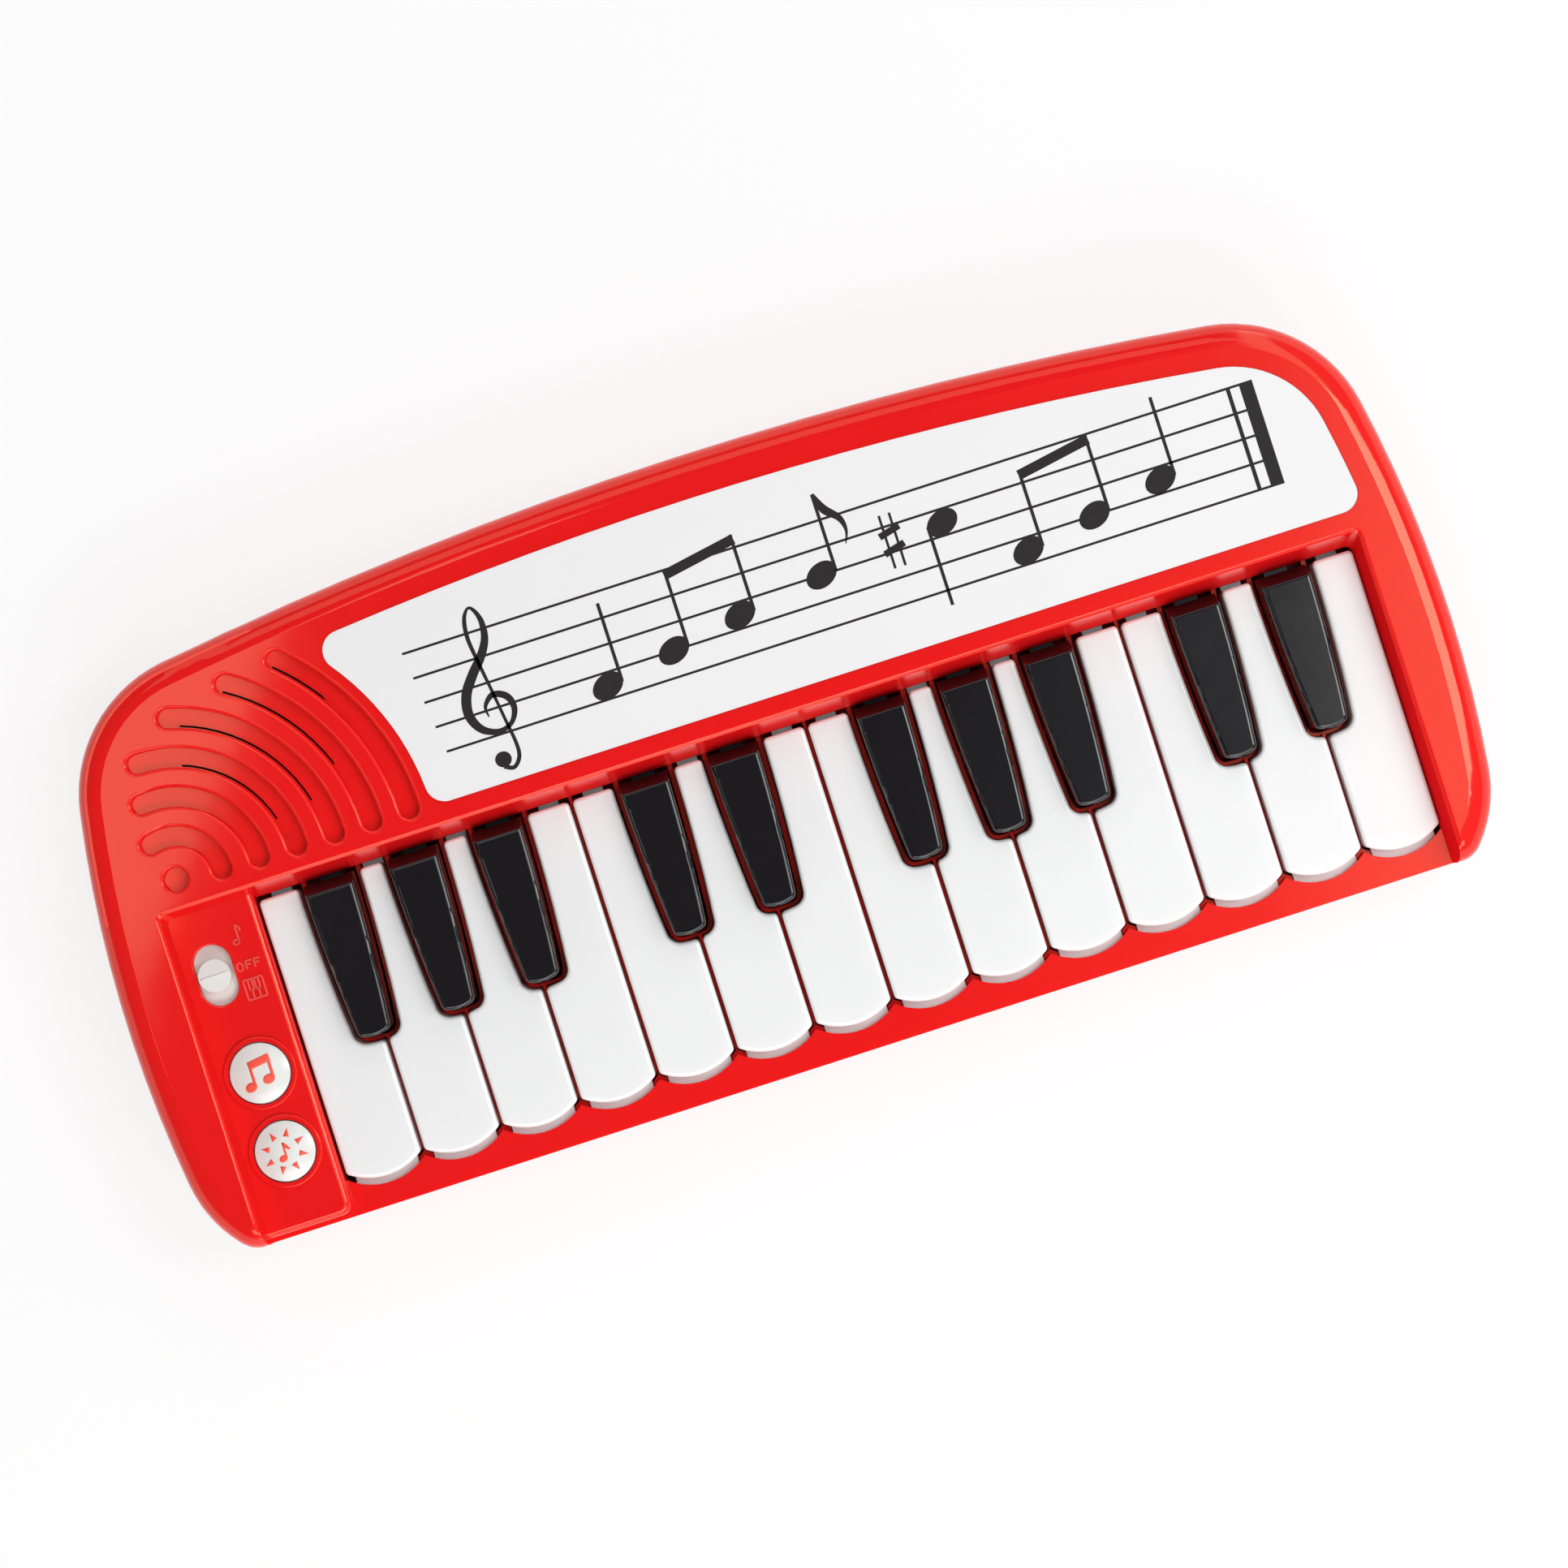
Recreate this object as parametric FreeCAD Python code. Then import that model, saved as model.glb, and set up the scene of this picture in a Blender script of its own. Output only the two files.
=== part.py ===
"""Battery toy piano: a red moulded case with two octaves of keys on one pivot rod.

Millimetres, +X along the keys to the treble end, +Y to the back, +Z up.
The origin is under the middle of the case, on the table.
"""
import FreeCAD
import Part
import math
import os

from FreeCAD import Vector

# Key field: white keys in a row, black keys over the joints that the pattern names.
WHITE_KEYS = 14
KEY_PITCH = 20.3
KEY_GAP = 1.05
KEY_LENGTH = 74.0
KEY_NOSE_SAG = 3.2
KEY_HEIGHT = 11.0
KEY_WALL = 1.8
KEY_EDGE_RADIUS = 1.0
KEY_CORNER_RADIUS = 1.2
TONGUE_WIDTH = 16.2
TONGUE_REACH = 4.0
TONGUE_THICKNESS = 2.1
TONGUE_PLAY = 0.2

# Black keys: the joint that each one stands over, and how far it sits to one side of it.
BLACK_AT = [1, 2, 3, 5, 6, 8, 9, 10, 12, 13]
BLACK_SHIFT = [-1.7, -0.3, 1.1, -1.5, 1.3, -1.6, -0.3, 1.1, -1.7, 1.4]
BLACK_LENGTH = 40.2
BLACK_REAR_WIDTH = 12.4
BLACK_WAIST_WIDTH = 11.2
BLACK_NOSE_WIDTH = 8.2
BLACK_NOSE_SAG = 0.9
BLACK_NOSE_RADIUS = 1.6
BLACK_INSIDE_RADIUS = 0.5
BLACK_RISE = 5.4
BLACK_EDGE_RADIUS = 1.0
BLACK_BACK_SLOPE = 2.6
BLACK_CLEARANCE = 1.75

# Pivot rod behind the keys, and the eyes that turn on it.
ROD_RADIUS = 1.5
ROD_CLEARANCE = 0.05
ROD_SETBACK = 13.6
ROD_DROP = 11.0
EYE_RADIUS = 3.3
WHITE_ARM_WIDTH = 5.2
BLACK_ARM_WIDTH = 6.0
ARM_THICKNESS = 3.0
RIB_AT = [0, 4, 7, 11, 14]
RIB_THICKNESS = 2.0
RIB_DEPTH = 9.0
SADDLE_DEPTH = 6.0

# Case heights, measured upward from the table.
FOOT_HEIGHT = 2.0
LOWER_HEIGHT = 12.0
LEDGE_RISE = 12.0
WHITE_RISE = 2.0
DECK_RISE = 4.0
HOOD_RISE = 10.0

# Case plan: the cheeks stand outside the well, the hood behind it.
CASE_WALL = 2.2
WELL_WALL = 1.8
CHEEK_WIDTH = 16.3
HOOD_DEPTH = 68.6
LEDGE_DEPTH = 5.5
LEDGE_CUSP = 3.7
KEY_FRONT_GAP = 1.9
KEY_REAR_GAP = 1.1
SIDE_CLEARANCE = 0.25
WELL_DRAFT_DEG = 8.0
REAR_WALL_SLOPE = 2.9
WELL_CORNER = 2.0
WELL_EDGE = 0.6
REAR_CROWN_RADIUS = 987.0
SIDE_CROWN_RADIUS = 310.0
SIDE_CROWN_AT = 60.0
REAR_CORNER_RADIUS = 36.0
FRONT_CORNER_RADIUS = 33.0
FRONT_TIP_RADIUS = 7.0
FRONT_TIP_OUT = 0.4
TOP_EDGE_RADIUS = 6.5
BOTTOM_EDGE_RADIUS = 3.0
SEAM_STEP = 0.4

# Control deck at the bass end.
DECK_WIDTH = 22.1
DECK_CLEARANCE = 0.6
DECK_FRONT_GAP = 1.3
DECK_EDGE_RADIUS = 1.8
DECK_CORNER_RADIUS = 3.0
BUTTON_RADIUS = 7.5
BUTTON_CLEARANCE = 0.3
BUTTON_CROWN = 2.4
BUTTON_RIM = 0.9
BUTTON_EDGE_RADIUS = 0.4
BUTTON_FLANGE = 1.2
FLANGE_THICKNESS = 1.4
COLLAR_WIDTH = 1.3
COLLAR_HEIGHT = 0.8
BUTTON_X = 10.6
SWITCH_X = 7.5
FREE_BEFORE_BUTTONS = 0.477
FREE_BETWEEN_BUTTONS = 0.1055
FREE_BEHIND_SWITCH = 0.166
SLOT_WIDTH = 9.3
SLOT_EDGE_RADIUS = 0.5
SWITCH_TRAVEL = 3.0
KNOB_RADIUS = 4.05
KNOB_HEIGHT = 2.4
KNOB_CREASE = 0.7
SLIDE_PLATE_WIDTH = 11.0
SLIDE_PLATE_THICKNESS = 1.2
SLIDE_GAP = 0.1

# Speaker grille: arc grooves about one pocket, with sound slits over the speaker.
GRILLE_FROM_WALL = 7.0
GRILLE_FROM_BACK = 6.1
GRILLE_FIRST_RADIUS = 11.6
GRILLE_PITCH = 9.62
GRILLE_END_ANGLES = [107.0, 96.9, 91.1, 75.9, 58.9, 48.5]
GROOVE_WIDTH = 4.75
GROOVE_DEPTH = 2.2
GRILLE_PLATE = 3.6
POCKET_RADIUS = 3.0
POCKET_DY = 1.0
GROOVE_EDGE_RADIUS = 0.8
SLIT_WIDTH = 0.5
SLIT_FROM_SIDE = 0.2
SLIT_FROM_GROOVE = 2
SPEAKER_DX = 29.2
SPEAKER_DY = 27.1
SPEAKER_RADIUS = 22.5
SPEAKER_RIM = 1.2
SPEAKER_DEPTH = 15.0
SPEAKER_SURROUND = 3.0
SPEAKER_SCREWS = 3
SPEAKER_SCREW_START = 30.0
MAGNET_RADIUS = 14.0
MAGNET_HEIGHT = 7.0

# Printed label set into the hood.
LABEL_INSET = 11.2
LABEL_FRONT_GAP = 4.9
LABEL_GRILLE_GAP = 3.0
LABEL_CORNER = 5.0
LABEL_RECESS = 0.3
LABEL_THICKNESS = 0.2
LABEL_PLAY = 0.1

# Boards, contacts and fasteners.
BOARD_THICKNESS = 1.6
BOARD_DEPTH = 22.0
BOARD_POST = 3.2
BOARD_EDGE_GAP = 0.2
BOARD_SCREWS_AT = [1, 7, 13]
DOMES_AT = 33.0
DOME_SHEET = 1.0
DOME_RADIUS = 3.4
DOME_TOP_RADIUS = 2.2
DOME_HEIGHT = 3.5
DOME_SHEET_HALF = 4.9
PLUNGER_RADIUS = 2.0
PLUNGER_GAP = 0.3
CONTROL_BOARD_DROP = 5.7
CONTROL_BOARD_PLAY = 0.4
CONTROL_BOARD_FRONT_GAP = 5.4
BUTTON_DOME_HEIGHT = 2.4
BUTTON_SHEET_HALF = 4.0
STEM_RADIUS = 2.5
SWITCH_STEM = 2.0
SWITCH_BODY_HEIGHT = 3.8
SWITCH_BODY_WIDTH = 8.6
SWITCH_BODY_WALL = 2.0
CHIP_RADIUS = 5.0
CHIP_HEIGHT = 1.4
POST_RADIUS = 2.2
SCREW_RADIUS = 1.25
SCREW_HEAD_RADIUS = 2.4
SCREW_HEAD = 1.6
SCREW_CLEARANCE = 0.05
BOSS_RADIUS = 3.5
FRONT_SCREW_AT = 52.0
MIDDLE_SCREW_IN = 6.4
MIDDLE_SCREW_FROM_BACK = 43.0
REAR_SCREW_IN = 82.0
REAR_SCREW_FROM_BACK = 13.0
CASE_SCREW_BITE = 8.0
CASE_SCREW_CUP = 5.0
CASE_BOSS_DROP = 4.0
BOARD_SCREW_BITE = 2.6
PILOT_SPARE = 0.3
SPEAKER_SCREW_BITE = 2.0
SPEAKER_HEAD_RADIUS = 3.2
LIP_WIDTH = 1.2
LIP_HEIGHT = 1.5
LIP_PLAY = 0.15
WIRE_RADIUS = 0.6
WIRE_BEND = 6.0
WIRE_SPREAD = 2.6
WIRES_FROM_DECK = 13.3
WIRES_FROM_WALL = 7.2
SPEAKER_WIRE_BEND = 1.8
SPEAKER_WIRE_OUT = 4.5
SPEAKER_WIRE_SPREAD = 2.0
RIBBON_WIDTH = 10.0
RIBBON_THICKNESS = 0.4

# Battery bay under the hood, with a door in the floor.
CELL_COUNT = 3
CELL_LENGTH = 50.5
CELL_RADIUS = 7.15
CELL_GAP = 0.4
CELL_NUB = 1.0
CELL_NUB_RADIUS = 2.7
BAY_X = 20.0
BAY_FROM_ROD = 8.2
BAY_WALL = 1.6
CONTACT_SPACE = 4.2
CONTACT_THICKNESS = 0.5
CONTACT_HALF = 4.3
DOOR_THICKNESS = 2.0
DOOR_CLEARANCE = 0.3
DOOR_TAB_AT = 0.6
DOOR_TAB_WIDTH = 8.0
DOOR_TAB_REACH = 1.4
DOOR_TAB_THICKNESS = 1.0
DOOR_TAB_EDGE = 0.5
DOOR_EAR = 12.0
DOOR_SCREW_BITE = 5.0
DOOR_SCREW_PLAY = 0.5

# Rubber feet, and how far each stands in from the front, sides and back.
FOOT_RADIUS = 6.0
FOOT_EDGE_RADIUS = 0.5
FOOT_FROM_FRONT = 13.0
FOOT_FROM_SIDE = 30.0
FOOT_FROM_BACK = 30.0

# Heights that follow from the values above.
Z_FLOOR = FOOT_HEIGHT
Z_SEAM = Z_FLOOR + LOWER_HEIGHT
Z_LEDGE = Z_SEAM + LEDGE_RISE
Z_WHITE = Z_LEDGE + WHITE_RISE
Z_BLACK = Z_WHITE + BLACK_RISE
Z_DECK = Z_LEDGE + DECK_RISE
Z_HOOD = Z_LEDGE + HOOD_RISE
Z_KEY_BOTTOM = Z_WHITE - KEY_HEIGHT
Z_ROD = Z_WHITE - ROD_DROP
Z_INSIDE = Z_FLOOR + CASE_WALL

# Places across the case: the well is centred, with the deck at its bass end.
DRAFT = math.tan(math.radians(WELL_DRAFT_DEG))
KEY_FIELD = WHITE_KEYS * KEY_PITCH
RIGHT_FOOT_TO_TOP = HOOD_RISE * DRAFT
LEFT_FOOT_TO_TOP = (HOOD_RISE - DECK_RISE) * DRAFT
WELL_TOP_WIDTH = (LEFT_FOOT_TO_TOP + DECK_WIDTH + DECK_CLEARANCE + KEY_FIELD - KEY_GAP
                  + SIDE_CLEARANCE + RIGHT_FOOT_TO_TOP)
WELL_HALF = WELL_TOP_WIDTH / 2
CASE_HALF = WELL_HALF + CHEEK_WIDTH
DECK_LEFT = -WELL_HALF + LEFT_FOOT_TO_TOP
DECK_RIGHT = DECK_LEFT + DECK_WIDTH
KEY_LEFT = DECK_RIGHT + DECK_CLEARANCE - KEY_GAP / 2
WELL_RIGHT = WELL_HALF - RIGHT_FOOT_TO_TOP

# Places from front to back, with the case centred on the origin.
KEY_FRONT_OFFSET = LEDGE_DEPTH + KEY_FRONT_GAP
WALL_FOOT_OFFSET = KEY_FRONT_OFFSET + KEY_LENGTH + KEY_REAR_GAP
CASE_DEPTH = WALL_FOOT_OFFSET + REAR_WALL_SLOPE + HOOD_DEPTH
Y_FRONT = -CASE_DEPTH / 2
Y_BACK = CASE_DEPTH / 2
Y_LEDGE = Y_FRONT + LEDGE_DEPTH
Y_KEY_FRONT = Y_FRONT + KEY_FRONT_OFFSET
Y_KEY_REAR = Y_KEY_FRONT + KEY_LENGTH
Y_WALL_FOOT = Y_FRONT + WALL_FOOT_OFFSET
Y_WALL_TOP = Y_WALL_FOOT + REAR_WALL_SLOPE
Y_ROD = Y_KEY_REAR + ROD_SETBACK
Y_DOMES = Y_ROD - DOMES_AT

CUT_PAST = 1.0
UP = Vector(0, 0, 1)
ALONG_X = Vector(1, 0, 0)


def export(name, *solids):
    """Write one node as a STEP file, alone or as a group of solids."""
    shape = solids[0] if len(solids) == 1 else Part.makeCompound(list(solids))
    assert shape.isValid(), name
    shape.exportStep("parts/" + name + ".step")


def block(x0, x1, y0, y1, z0, z1):
    """A box between two corners."""
    return Part.makeBox(x1 - x0, y1 - y0, z1 - z0, Vector(x0, y0, z0))


def post(x, y, z0, z1, radius):
    """An upright cylinder."""
    return Part.makeCylinder(radius, z1 - z0, Vector(x, y, z0), UP)


def domed_post(x, y, z0, z_rim, radius, crown):
    """An upright cylinder that ends in part of a ball, from its rim up to the crown."""
    ball = (radius ** 2 + crown ** 2) / (2 * crown)
    body = post(x, y, z0, z_rim + crown, radius)
    return body.common(Part.makeSphere(ball, Vector(x, y, z_rim + crown - ball))).Solids[0]


def cross_rod(x0, x1, y, z, radius):
    """A cylinder along X."""
    return Part.makeCylinder(radius, x1 - x0, Vector(x0, y, z), ALONG_X)


def prism(edges, z0, z1):
    """An upright solid on a closed outline of edges drawn at any height."""
    face = Part.Face(Part.Wire(Part.__sortEdges__(edges)))
    face.translate(Vector(0, 0, z0 - face.BoundBox.ZMin))
    return face.extrude(Vector(0, 0, z1 - z0))


def line(a, b):
    return Part.LineSegment(Vector(*a), Vector(*b)).toShape()


def arc(a, b, c):
    return Part.Arc(Vector(*a), Vector(*b), Vector(*c)).toShape()


def closed_loop(points):
    """Straight edges round a list of points."""
    return [line(a, b) for a, b in zip(points, points[1:] + points[:1])]


def one_solid(shape):
    """The single solid of a boolean result, with its split faces joined up."""
    solids = shape.removeSplitter().Solids
    assert len(solids) == 1, len(solids)
    return solids[0]


def spin(edges, x, y):
    """A solid turned about an upright axis from its half profile."""
    face = Part.Face(Part.Wire(Part.__sortEdges__(edges)))
    solid = Part.Solid(face.revolve(Vector(x, y, 0), UP, 360))
    return solid if solid.Volume > 0 else solid.reversed()


def top_edges(shape, z):
    """The edges that lie flat at one height."""
    flat = 1e-4
    return [e for e in shape.Edges
            if abs(e.BoundBox.ZMin - z) < flat and abs(e.BoundBox.ZMax - z) < flat]


def edges_round(shape, z, x, y, radius):
    """The edges at one height whose middles lie within a radius of a place in plan."""
    found = []
    for e in top_edges(shape, z):
        middle = e.valueAt((e.FirstParameter + e.LastParameter) / 2)
        if math.hypot(middle.x - x, middle.y - y) < radius:
            found.append(e)
    return found


def upright_edges(shape, x, y):
    """The upright edges that pass through one place in plan."""
    near = 0.01
    return [e for e in shape.Edges
            if e.BoundBox.XLength < near and e.BoundBox.YLength < near
            and abs(e.CenterOfMass.x - x) < near and abs(e.CenterOfMass.y - y) < near]


# Case outline: rear crown, rear corners, bowed sides and front corners, all tangent arcs.
def circle_meeting(c1, r1, c2, r2):
    """The meeting point of two circles that lies on the right of the line from c1 to c2."""
    across = c2 - c1
    d = across.Length
    along = (r1 * r1 - r2 * r2 + d * d) / (2 * d)
    side = math.sqrt(r1 * r1 - along * along)
    unit = across / d
    return c1 + unit * along + Vector(unit.y, -unit.x, 0) * side


def case_outline(inset):
    """The case's plan outline, drawn in by the given distance, as edges at height zero."""
    rear_centre = Vector(0, Y_BACK - REAR_CROWN_RADIUS, 0)
    side_centre = Vector(CASE_HALF - SIDE_CROWN_RADIUS, Y_FRONT + SIDE_CROWN_AT, 0)
    rear_r = REAR_CROWN_RADIUS - inset
    side_r = SIDE_CROWN_RADIUS - inset
    corner_r = REAR_CORNER_RADIUS - inset
    front_r = FRONT_CORNER_RADIUS - inset
    corner = circle_meeting(rear_centre, REAR_CROWN_RADIUS - REAR_CORNER_RADIUS,
                            side_centre, SIDE_CROWN_RADIUS - REAR_CORNER_RADIUS)
    tip = Vector(WELL_HALF + FRONT_TIP_OUT, Y_FRONT + FRONT_TIP_RADIUS, 0)
    front = circle_meeting(tip, FRONT_CORNER_RADIUS - FRONT_TIP_RADIUS,
                           side_centre, SIDE_CROWN_RADIUS - FRONT_CORNER_RADIUS)

    def on(centre, radius, target):
        return centre + (target - centre).normalize() * radius

    rear_end = on(rear_centre, rear_r, corner)
    side_start = on(side_centre, side_r, corner)
    side_end = on(side_centre, side_r, front)
    y_line = Y_FRONT + inset
    tip_r = FRONT_TIP_RADIUS - inset
    if tip_r > 0:
        front_end = on(front, front_r, tip)
        line_end = Vector(tip.x, y_line, 0)
    else:
        front_end = Vector(front.x + math.sqrt(front_r ** 2 - (front.y - y_line) ** 2), y_line, 0)
        line_end = front_end
    corner_mid = on(corner, corner_r, (rear_end + side_start) / 2)
    side_mid = on(side_centre, side_r, (side_start + side_end) / 2)
    front_mid = on(front, front_r, (side_end + front_end) / 2)

    def mirror(p):
        return Vector(-p.x, p.y, 0)

    rear_top = rear_centre + Vector(0, rear_r, 0)
    half = [(rear_end, corner_mid, side_start), (side_start, side_mid, side_end),
            (side_end, front_mid, front_end)]
    if tip_r > 0:
        half.append((front_end, on(tip, tip_r, (front_end + line_end) / 2), line_end))
    rear_mid = on(rear_centre, rear_r, (rear_top + rear_end) / 2)
    half.append((rear_top, rear_mid, rear_end))
    edges = []
    for a, b, c in half:
        edges.append(arc(a, b, c))
        edges.append(arc(mirror(a), mirror(b), mirror(c)))
    edges.append(line(mirror(line_end), line_end))
    return edges


def well_section(z, grow):
    """The well's plan at one height: open past the front, with rounded rear corners."""
    up = (z - Z_LEDGE) / HOOD_RISE
    half = WELL_RIGHT + RIGHT_FOOT_TO_TOP * up + grow
    back = Y_WALL_FOOT + REAR_WALL_SLOPE * up + grow
    front = Y_FRONT - TOP_EDGE_RADIUS
    r = WELL_CORNER
    k = r * (1 - math.sqrt(0.5))
    edges = [
        line((-half, front, z), (half, front, z)),
        line((half, front, z), (half, back - r, z)),
        arc((half, back - r, z), (half - k, back - k, z), (half - r, back, z)),
        line((half - r, back, z), (-half + r, back, z)),
        arc((-half + r, back, z), (-half + k, back - k, z), (-half, back - r, z)),
        line((-half, back - r, z), (-half, front, z)),
    ]
    return Part.Wire(edges)


def well_volume(z_floor, grow):
    """The sloped-wall recess over the keys and deck, flared a little at its top edge."""
    z_flare = Z_HOOD - WELL_EDGE
    sections = [well_section(z_floor, grow), well_section(z_flare, grow)]
    body = Part.makeLoft(sections, True, True)
    if grow > 0:
        return body
    flare = Part.makeLoft([well_section(z_flare, 0), well_section(Z_HOOD + WELL_EDGE, 2 * WELL_EDGE)],
                          True, True)
    return body.fuse(flare)


# Key outlines
def joint_x(k):
    """The middle of the gap on the bass side of white key k."""
    return KEY_LEFT + k * KEY_PITCH


BLACK_X = [joint_x(k) + shift for k, shift in zip(BLACK_AT, BLACK_SHIFT)]


def black_prism(x, grow, y_back, z0, z1):
    """A black key's plan grown by some distance: bowed sides that narrow to a shallow arc."""
    y_tip = Y_KEY_REAR - BLACK_LENGTH - grow
    y_nose = y_tip + BLACK_NOSE_SAG
    y_waist = (Y_KEY_REAR + y_nose) / 2
    rear = BLACK_REAR_WIDTH / 2 + grow
    waist = BLACK_WAIST_WIDTH / 2 + grow
    nose = BLACK_NOSE_WIDTH / 2 + grow
    edges = [arc((x - nose, y_nose, 0), (x, y_tip, 0), (x + nose, y_nose, 0)),
             line((x - rear, y_back, 0), (x + rear, y_back, 0))]
    for side in (-1, 1):
        y_bow = min(y_back, Y_KEY_REAR)
        edges.append(arc((x + side * rear, y_bow, 0), (x + side * waist, y_waist, 0),
                         (x + side * nose, y_nose, 0)))
        if y_back > y_bow:
            edges.append(line((x + side * rear, y_bow, 0), (x + side * rear, y_back, 0)))
    body = prism(edges, z0, z1)
    corners = upright_edges(body, x - nose, y_nose) + upright_edges(body, x + nose, y_nose)
    return body.makeFillet(max(BLACK_NOSE_RADIUS + grow, BLACK_INSIDE_RADIUS), corners)


def white_prism(k, inset, z0, z1):
    """White key k in plan, drawn in by inset, with the notches for its black neighbours."""
    x0 = joint_x(k) + KEY_GAP / 2 + inset
    x1 = joint_x(k + 1) - KEY_GAP / 2 - inset
    y_tip = Y_KEY_FRONT + inset
    y_corner = y_tip + KEY_NOSE_SAG
    y_rear = Y_KEY_REAR - inset
    edges = [arc((x0, y_corner, 0), ((x0 + x1) / 2, y_tip, 0), (x1, y_corner, 0)),
             line((x1, y_corner, 0), (x1, y_rear, 0)),
             line((x1, y_rear, 0), (x0, y_rear, 0)),
             line((x0, y_rear, 0), (x0, y_corner, 0))]
    body = prism(edges, z0, z1)
    for joint, x in zip(BLACK_AT, BLACK_X):
        if joint in (k, k + 1):
            body = body.cut(black_prism(x, BLACK_CLEARANCE + inset, Y_KEY_REAR + KEY_REAR_GAP, z0, z1))
    return body.Solids[0]


def white_rear(k):
    """The two sides of white key k's narrow rear part, between its notches."""
    x0 = joint_x(k) + KEY_GAP / 2
    x1 = joint_x(k + 1) - KEY_GAP / 2
    for joint, x in zip(BLACK_AT, BLACK_X):
        if joint == k:
            x0 = x + BLACK_REAR_WIDTH / 2 + BLACK_CLEARANCE
        if joint == k + 1:
            x1 = x - BLACK_REAR_WIDTH / 2 - BLACK_CLEARANCE
    return x0, x1


def key_arm(x, width):
    """The tail of a key: a heel inside its rear wall, a flat arm and an eye for the rod."""
    half = width / 2
    heel = block(x - half, x + half, Y_KEY_REAR - 2 * KEY_WALL, Y_KEY_REAR - KEY_EDGE_RADIUS,
                 Z_ROD - ARM_THICKNESS / 2, Z_KEY_BOTTOM + KEY_HEIGHT / 2)
    arm = block(x - half, x + half, Y_KEY_REAR - 2 * KEY_WALL, Y_ROD,
                Z_ROD - ARM_THICKNESS / 2, Z_ROD + ARM_THICKNESS / 2)
    eye = cross_rod(x - half, x + half, Y_ROD, Z_ROD, EYE_RADIUS)
    return heel.fuse([arm, eye])


def plunger(x, z_top):
    """The post under a key that pushes its rubber dome."""
    return post(x, Y_DOMES, Z_DOME_TOP + PLUNGER_GAP, z_top, PLUNGER_RADIUS)


def rod_bore(x, width):
    return cross_rod(x - width, x + width, Y_ROD, Z_ROD, ROD_RADIUS + ROD_CLEARANCE)


# Heights of the key board and its domes, from the floor up.
Z_BOARD = Z_INSIDE + BOARD_POST
Z_DOME_SHEET = Z_BOARD + BOARD_THICKNESS
Z_DOME_BASE = Z_DOME_SHEET + DOME_SHEET
Z_DOME_TOP = Z_DOME_BASE + DOME_HEIGHT


def white_key(k):
    """A hollow white key with its front tongue, plunger, arm and eye."""
    body = white_prism(k, 0, Z_KEY_BOTTOM, Z_WHITE)
    x0 = joint_x(k) + KEY_GAP / 2
    x1 = joint_x(k + 1) - KEY_GAP / 2
    corners = [e for e in body.Edges if e.BoundBox.ZLength > KEY_HEIGHT / 2
               and (e.CenterOfMass.y > Y_KEY_REAR - KEY_WALL
                    or min(abs(e.CenterOfMass.x - x0), abs(e.CenterOfMass.x - x1)) < KEY_GAP / 10)]
    body = body.makeFillet(KEY_CORNER_RADIUS, corners)
    body = body.makeFillet(KEY_EDGE_RADIUS, top_edges(body, Z_WHITE))
    body = body.cut(white_prism(k, KEY_WALL, Z_KEY_BOTTOM, Z_WHITE - KEY_WALL))
    middle = (x0 + x1) / 2
    z_tongue = Z_LEDGE - WELL_WALL - TONGUE_PLAY
    tongue = block(middle - TONGUE_WIDTH / 2, middle + TONGUE_WIDTH / 2,
                   Y_KEY_FRONT - TONGUE_REACH, Y_KEY_FRONT + KEY_NOSE_SAG + KEY_WALL,
                   z_tongue - TONGUE_THICKNESS, z_tongue)
    rear = sum(white_rear(k)) / 2
    body = body.fuse([tongue, plunger(rear, Z_WHITE - KEY_WALL / 2), key_arm(rear, WHITE_ARM_WIDTH)])
    return one_solid(body.cut(rod_bore(rear, WHITE_ARM_WIDTH)))


def black_key(x):
    """A hollow black key, raked at the back, on the same rod as the white keys."""
    body = black_prism(x, 0, Y_KEY_REAR, Z_KEY_BOTTOM, Z_BLACK)
    side = Vector(x - BLACK_REAR_WIDTH, 0, 0)
    rake = closed_loop([(side.x, Y_KEY_REAR - BLACK_BACK_SLOPE, Z_BLACK + CUT_PAST),
                        (side.x, Y_KEY_REAR - BLACK_BACK_SLOPE, Z_BLACK),
                        (side.x, Y_KEY_REAR, Z_WHITE),
                        (side.x, Y_KEY_REAR + CUT_PAST, Z_WHITE),
                        (side.x, Y_KEY_REAR + CUT_PAST, Z_BLACK + CUT_PAST)])
    rake = Part.Face(Part.Wire(rake)).extrude(Vector(2 * BLACK_REAR_WIDTH, 0, 0))
    body = body.cut(rake).Solids[0]
    body = body.makeFillet(BLACK_EDGE_RADIUS, top_edges(body, Z_BLACK))
    hollow = black_prism(x, -KEY_WALL, Y_KEY_REAR - BLACK_BACK_SLOPE - KEY_WALL,
                         Z_KEY_BOTTOM, Z_BLACK - KEY_WALL)
    body = body.cut(hollow)
    body = body.fuse([plunger(x, Z_BLACK - KEY_WALL / 2), key_arm(x, BLACK_ARM_WIDTH)])
    return one_solid(body.cut(rod_bore(x, BLACK_ARM_WIDTH)))


# Upper case
GRILLE_X = -WELL_HALF + GRILLE_FROM_WALL
GRILLE_Y = Y_WALL_TOP + GRILLE_FROM_BACK
GRILLE_RADII = [GRILLE_FIRST_RADIUS + GRILLE_PITCH * i for i in range(len(GRILLE_END_ANGLES))]
SPEAKER_X = GRILLE_X + SPEAKER_DX
SPEAKER_Y = GRILLE_Y + SPEAKER_DY
Z_GRILLE_UNDER = Z_HOOD - GRILLE_PLATE
Z_CEILING = Z_HOOD - CASE_WALL
Z_DECK_UNDER = Z_DECK - WELL_WALL
Z_CONTROL = Z_DECK_UNDER - CONTROL_BOARD_DROP

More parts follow.
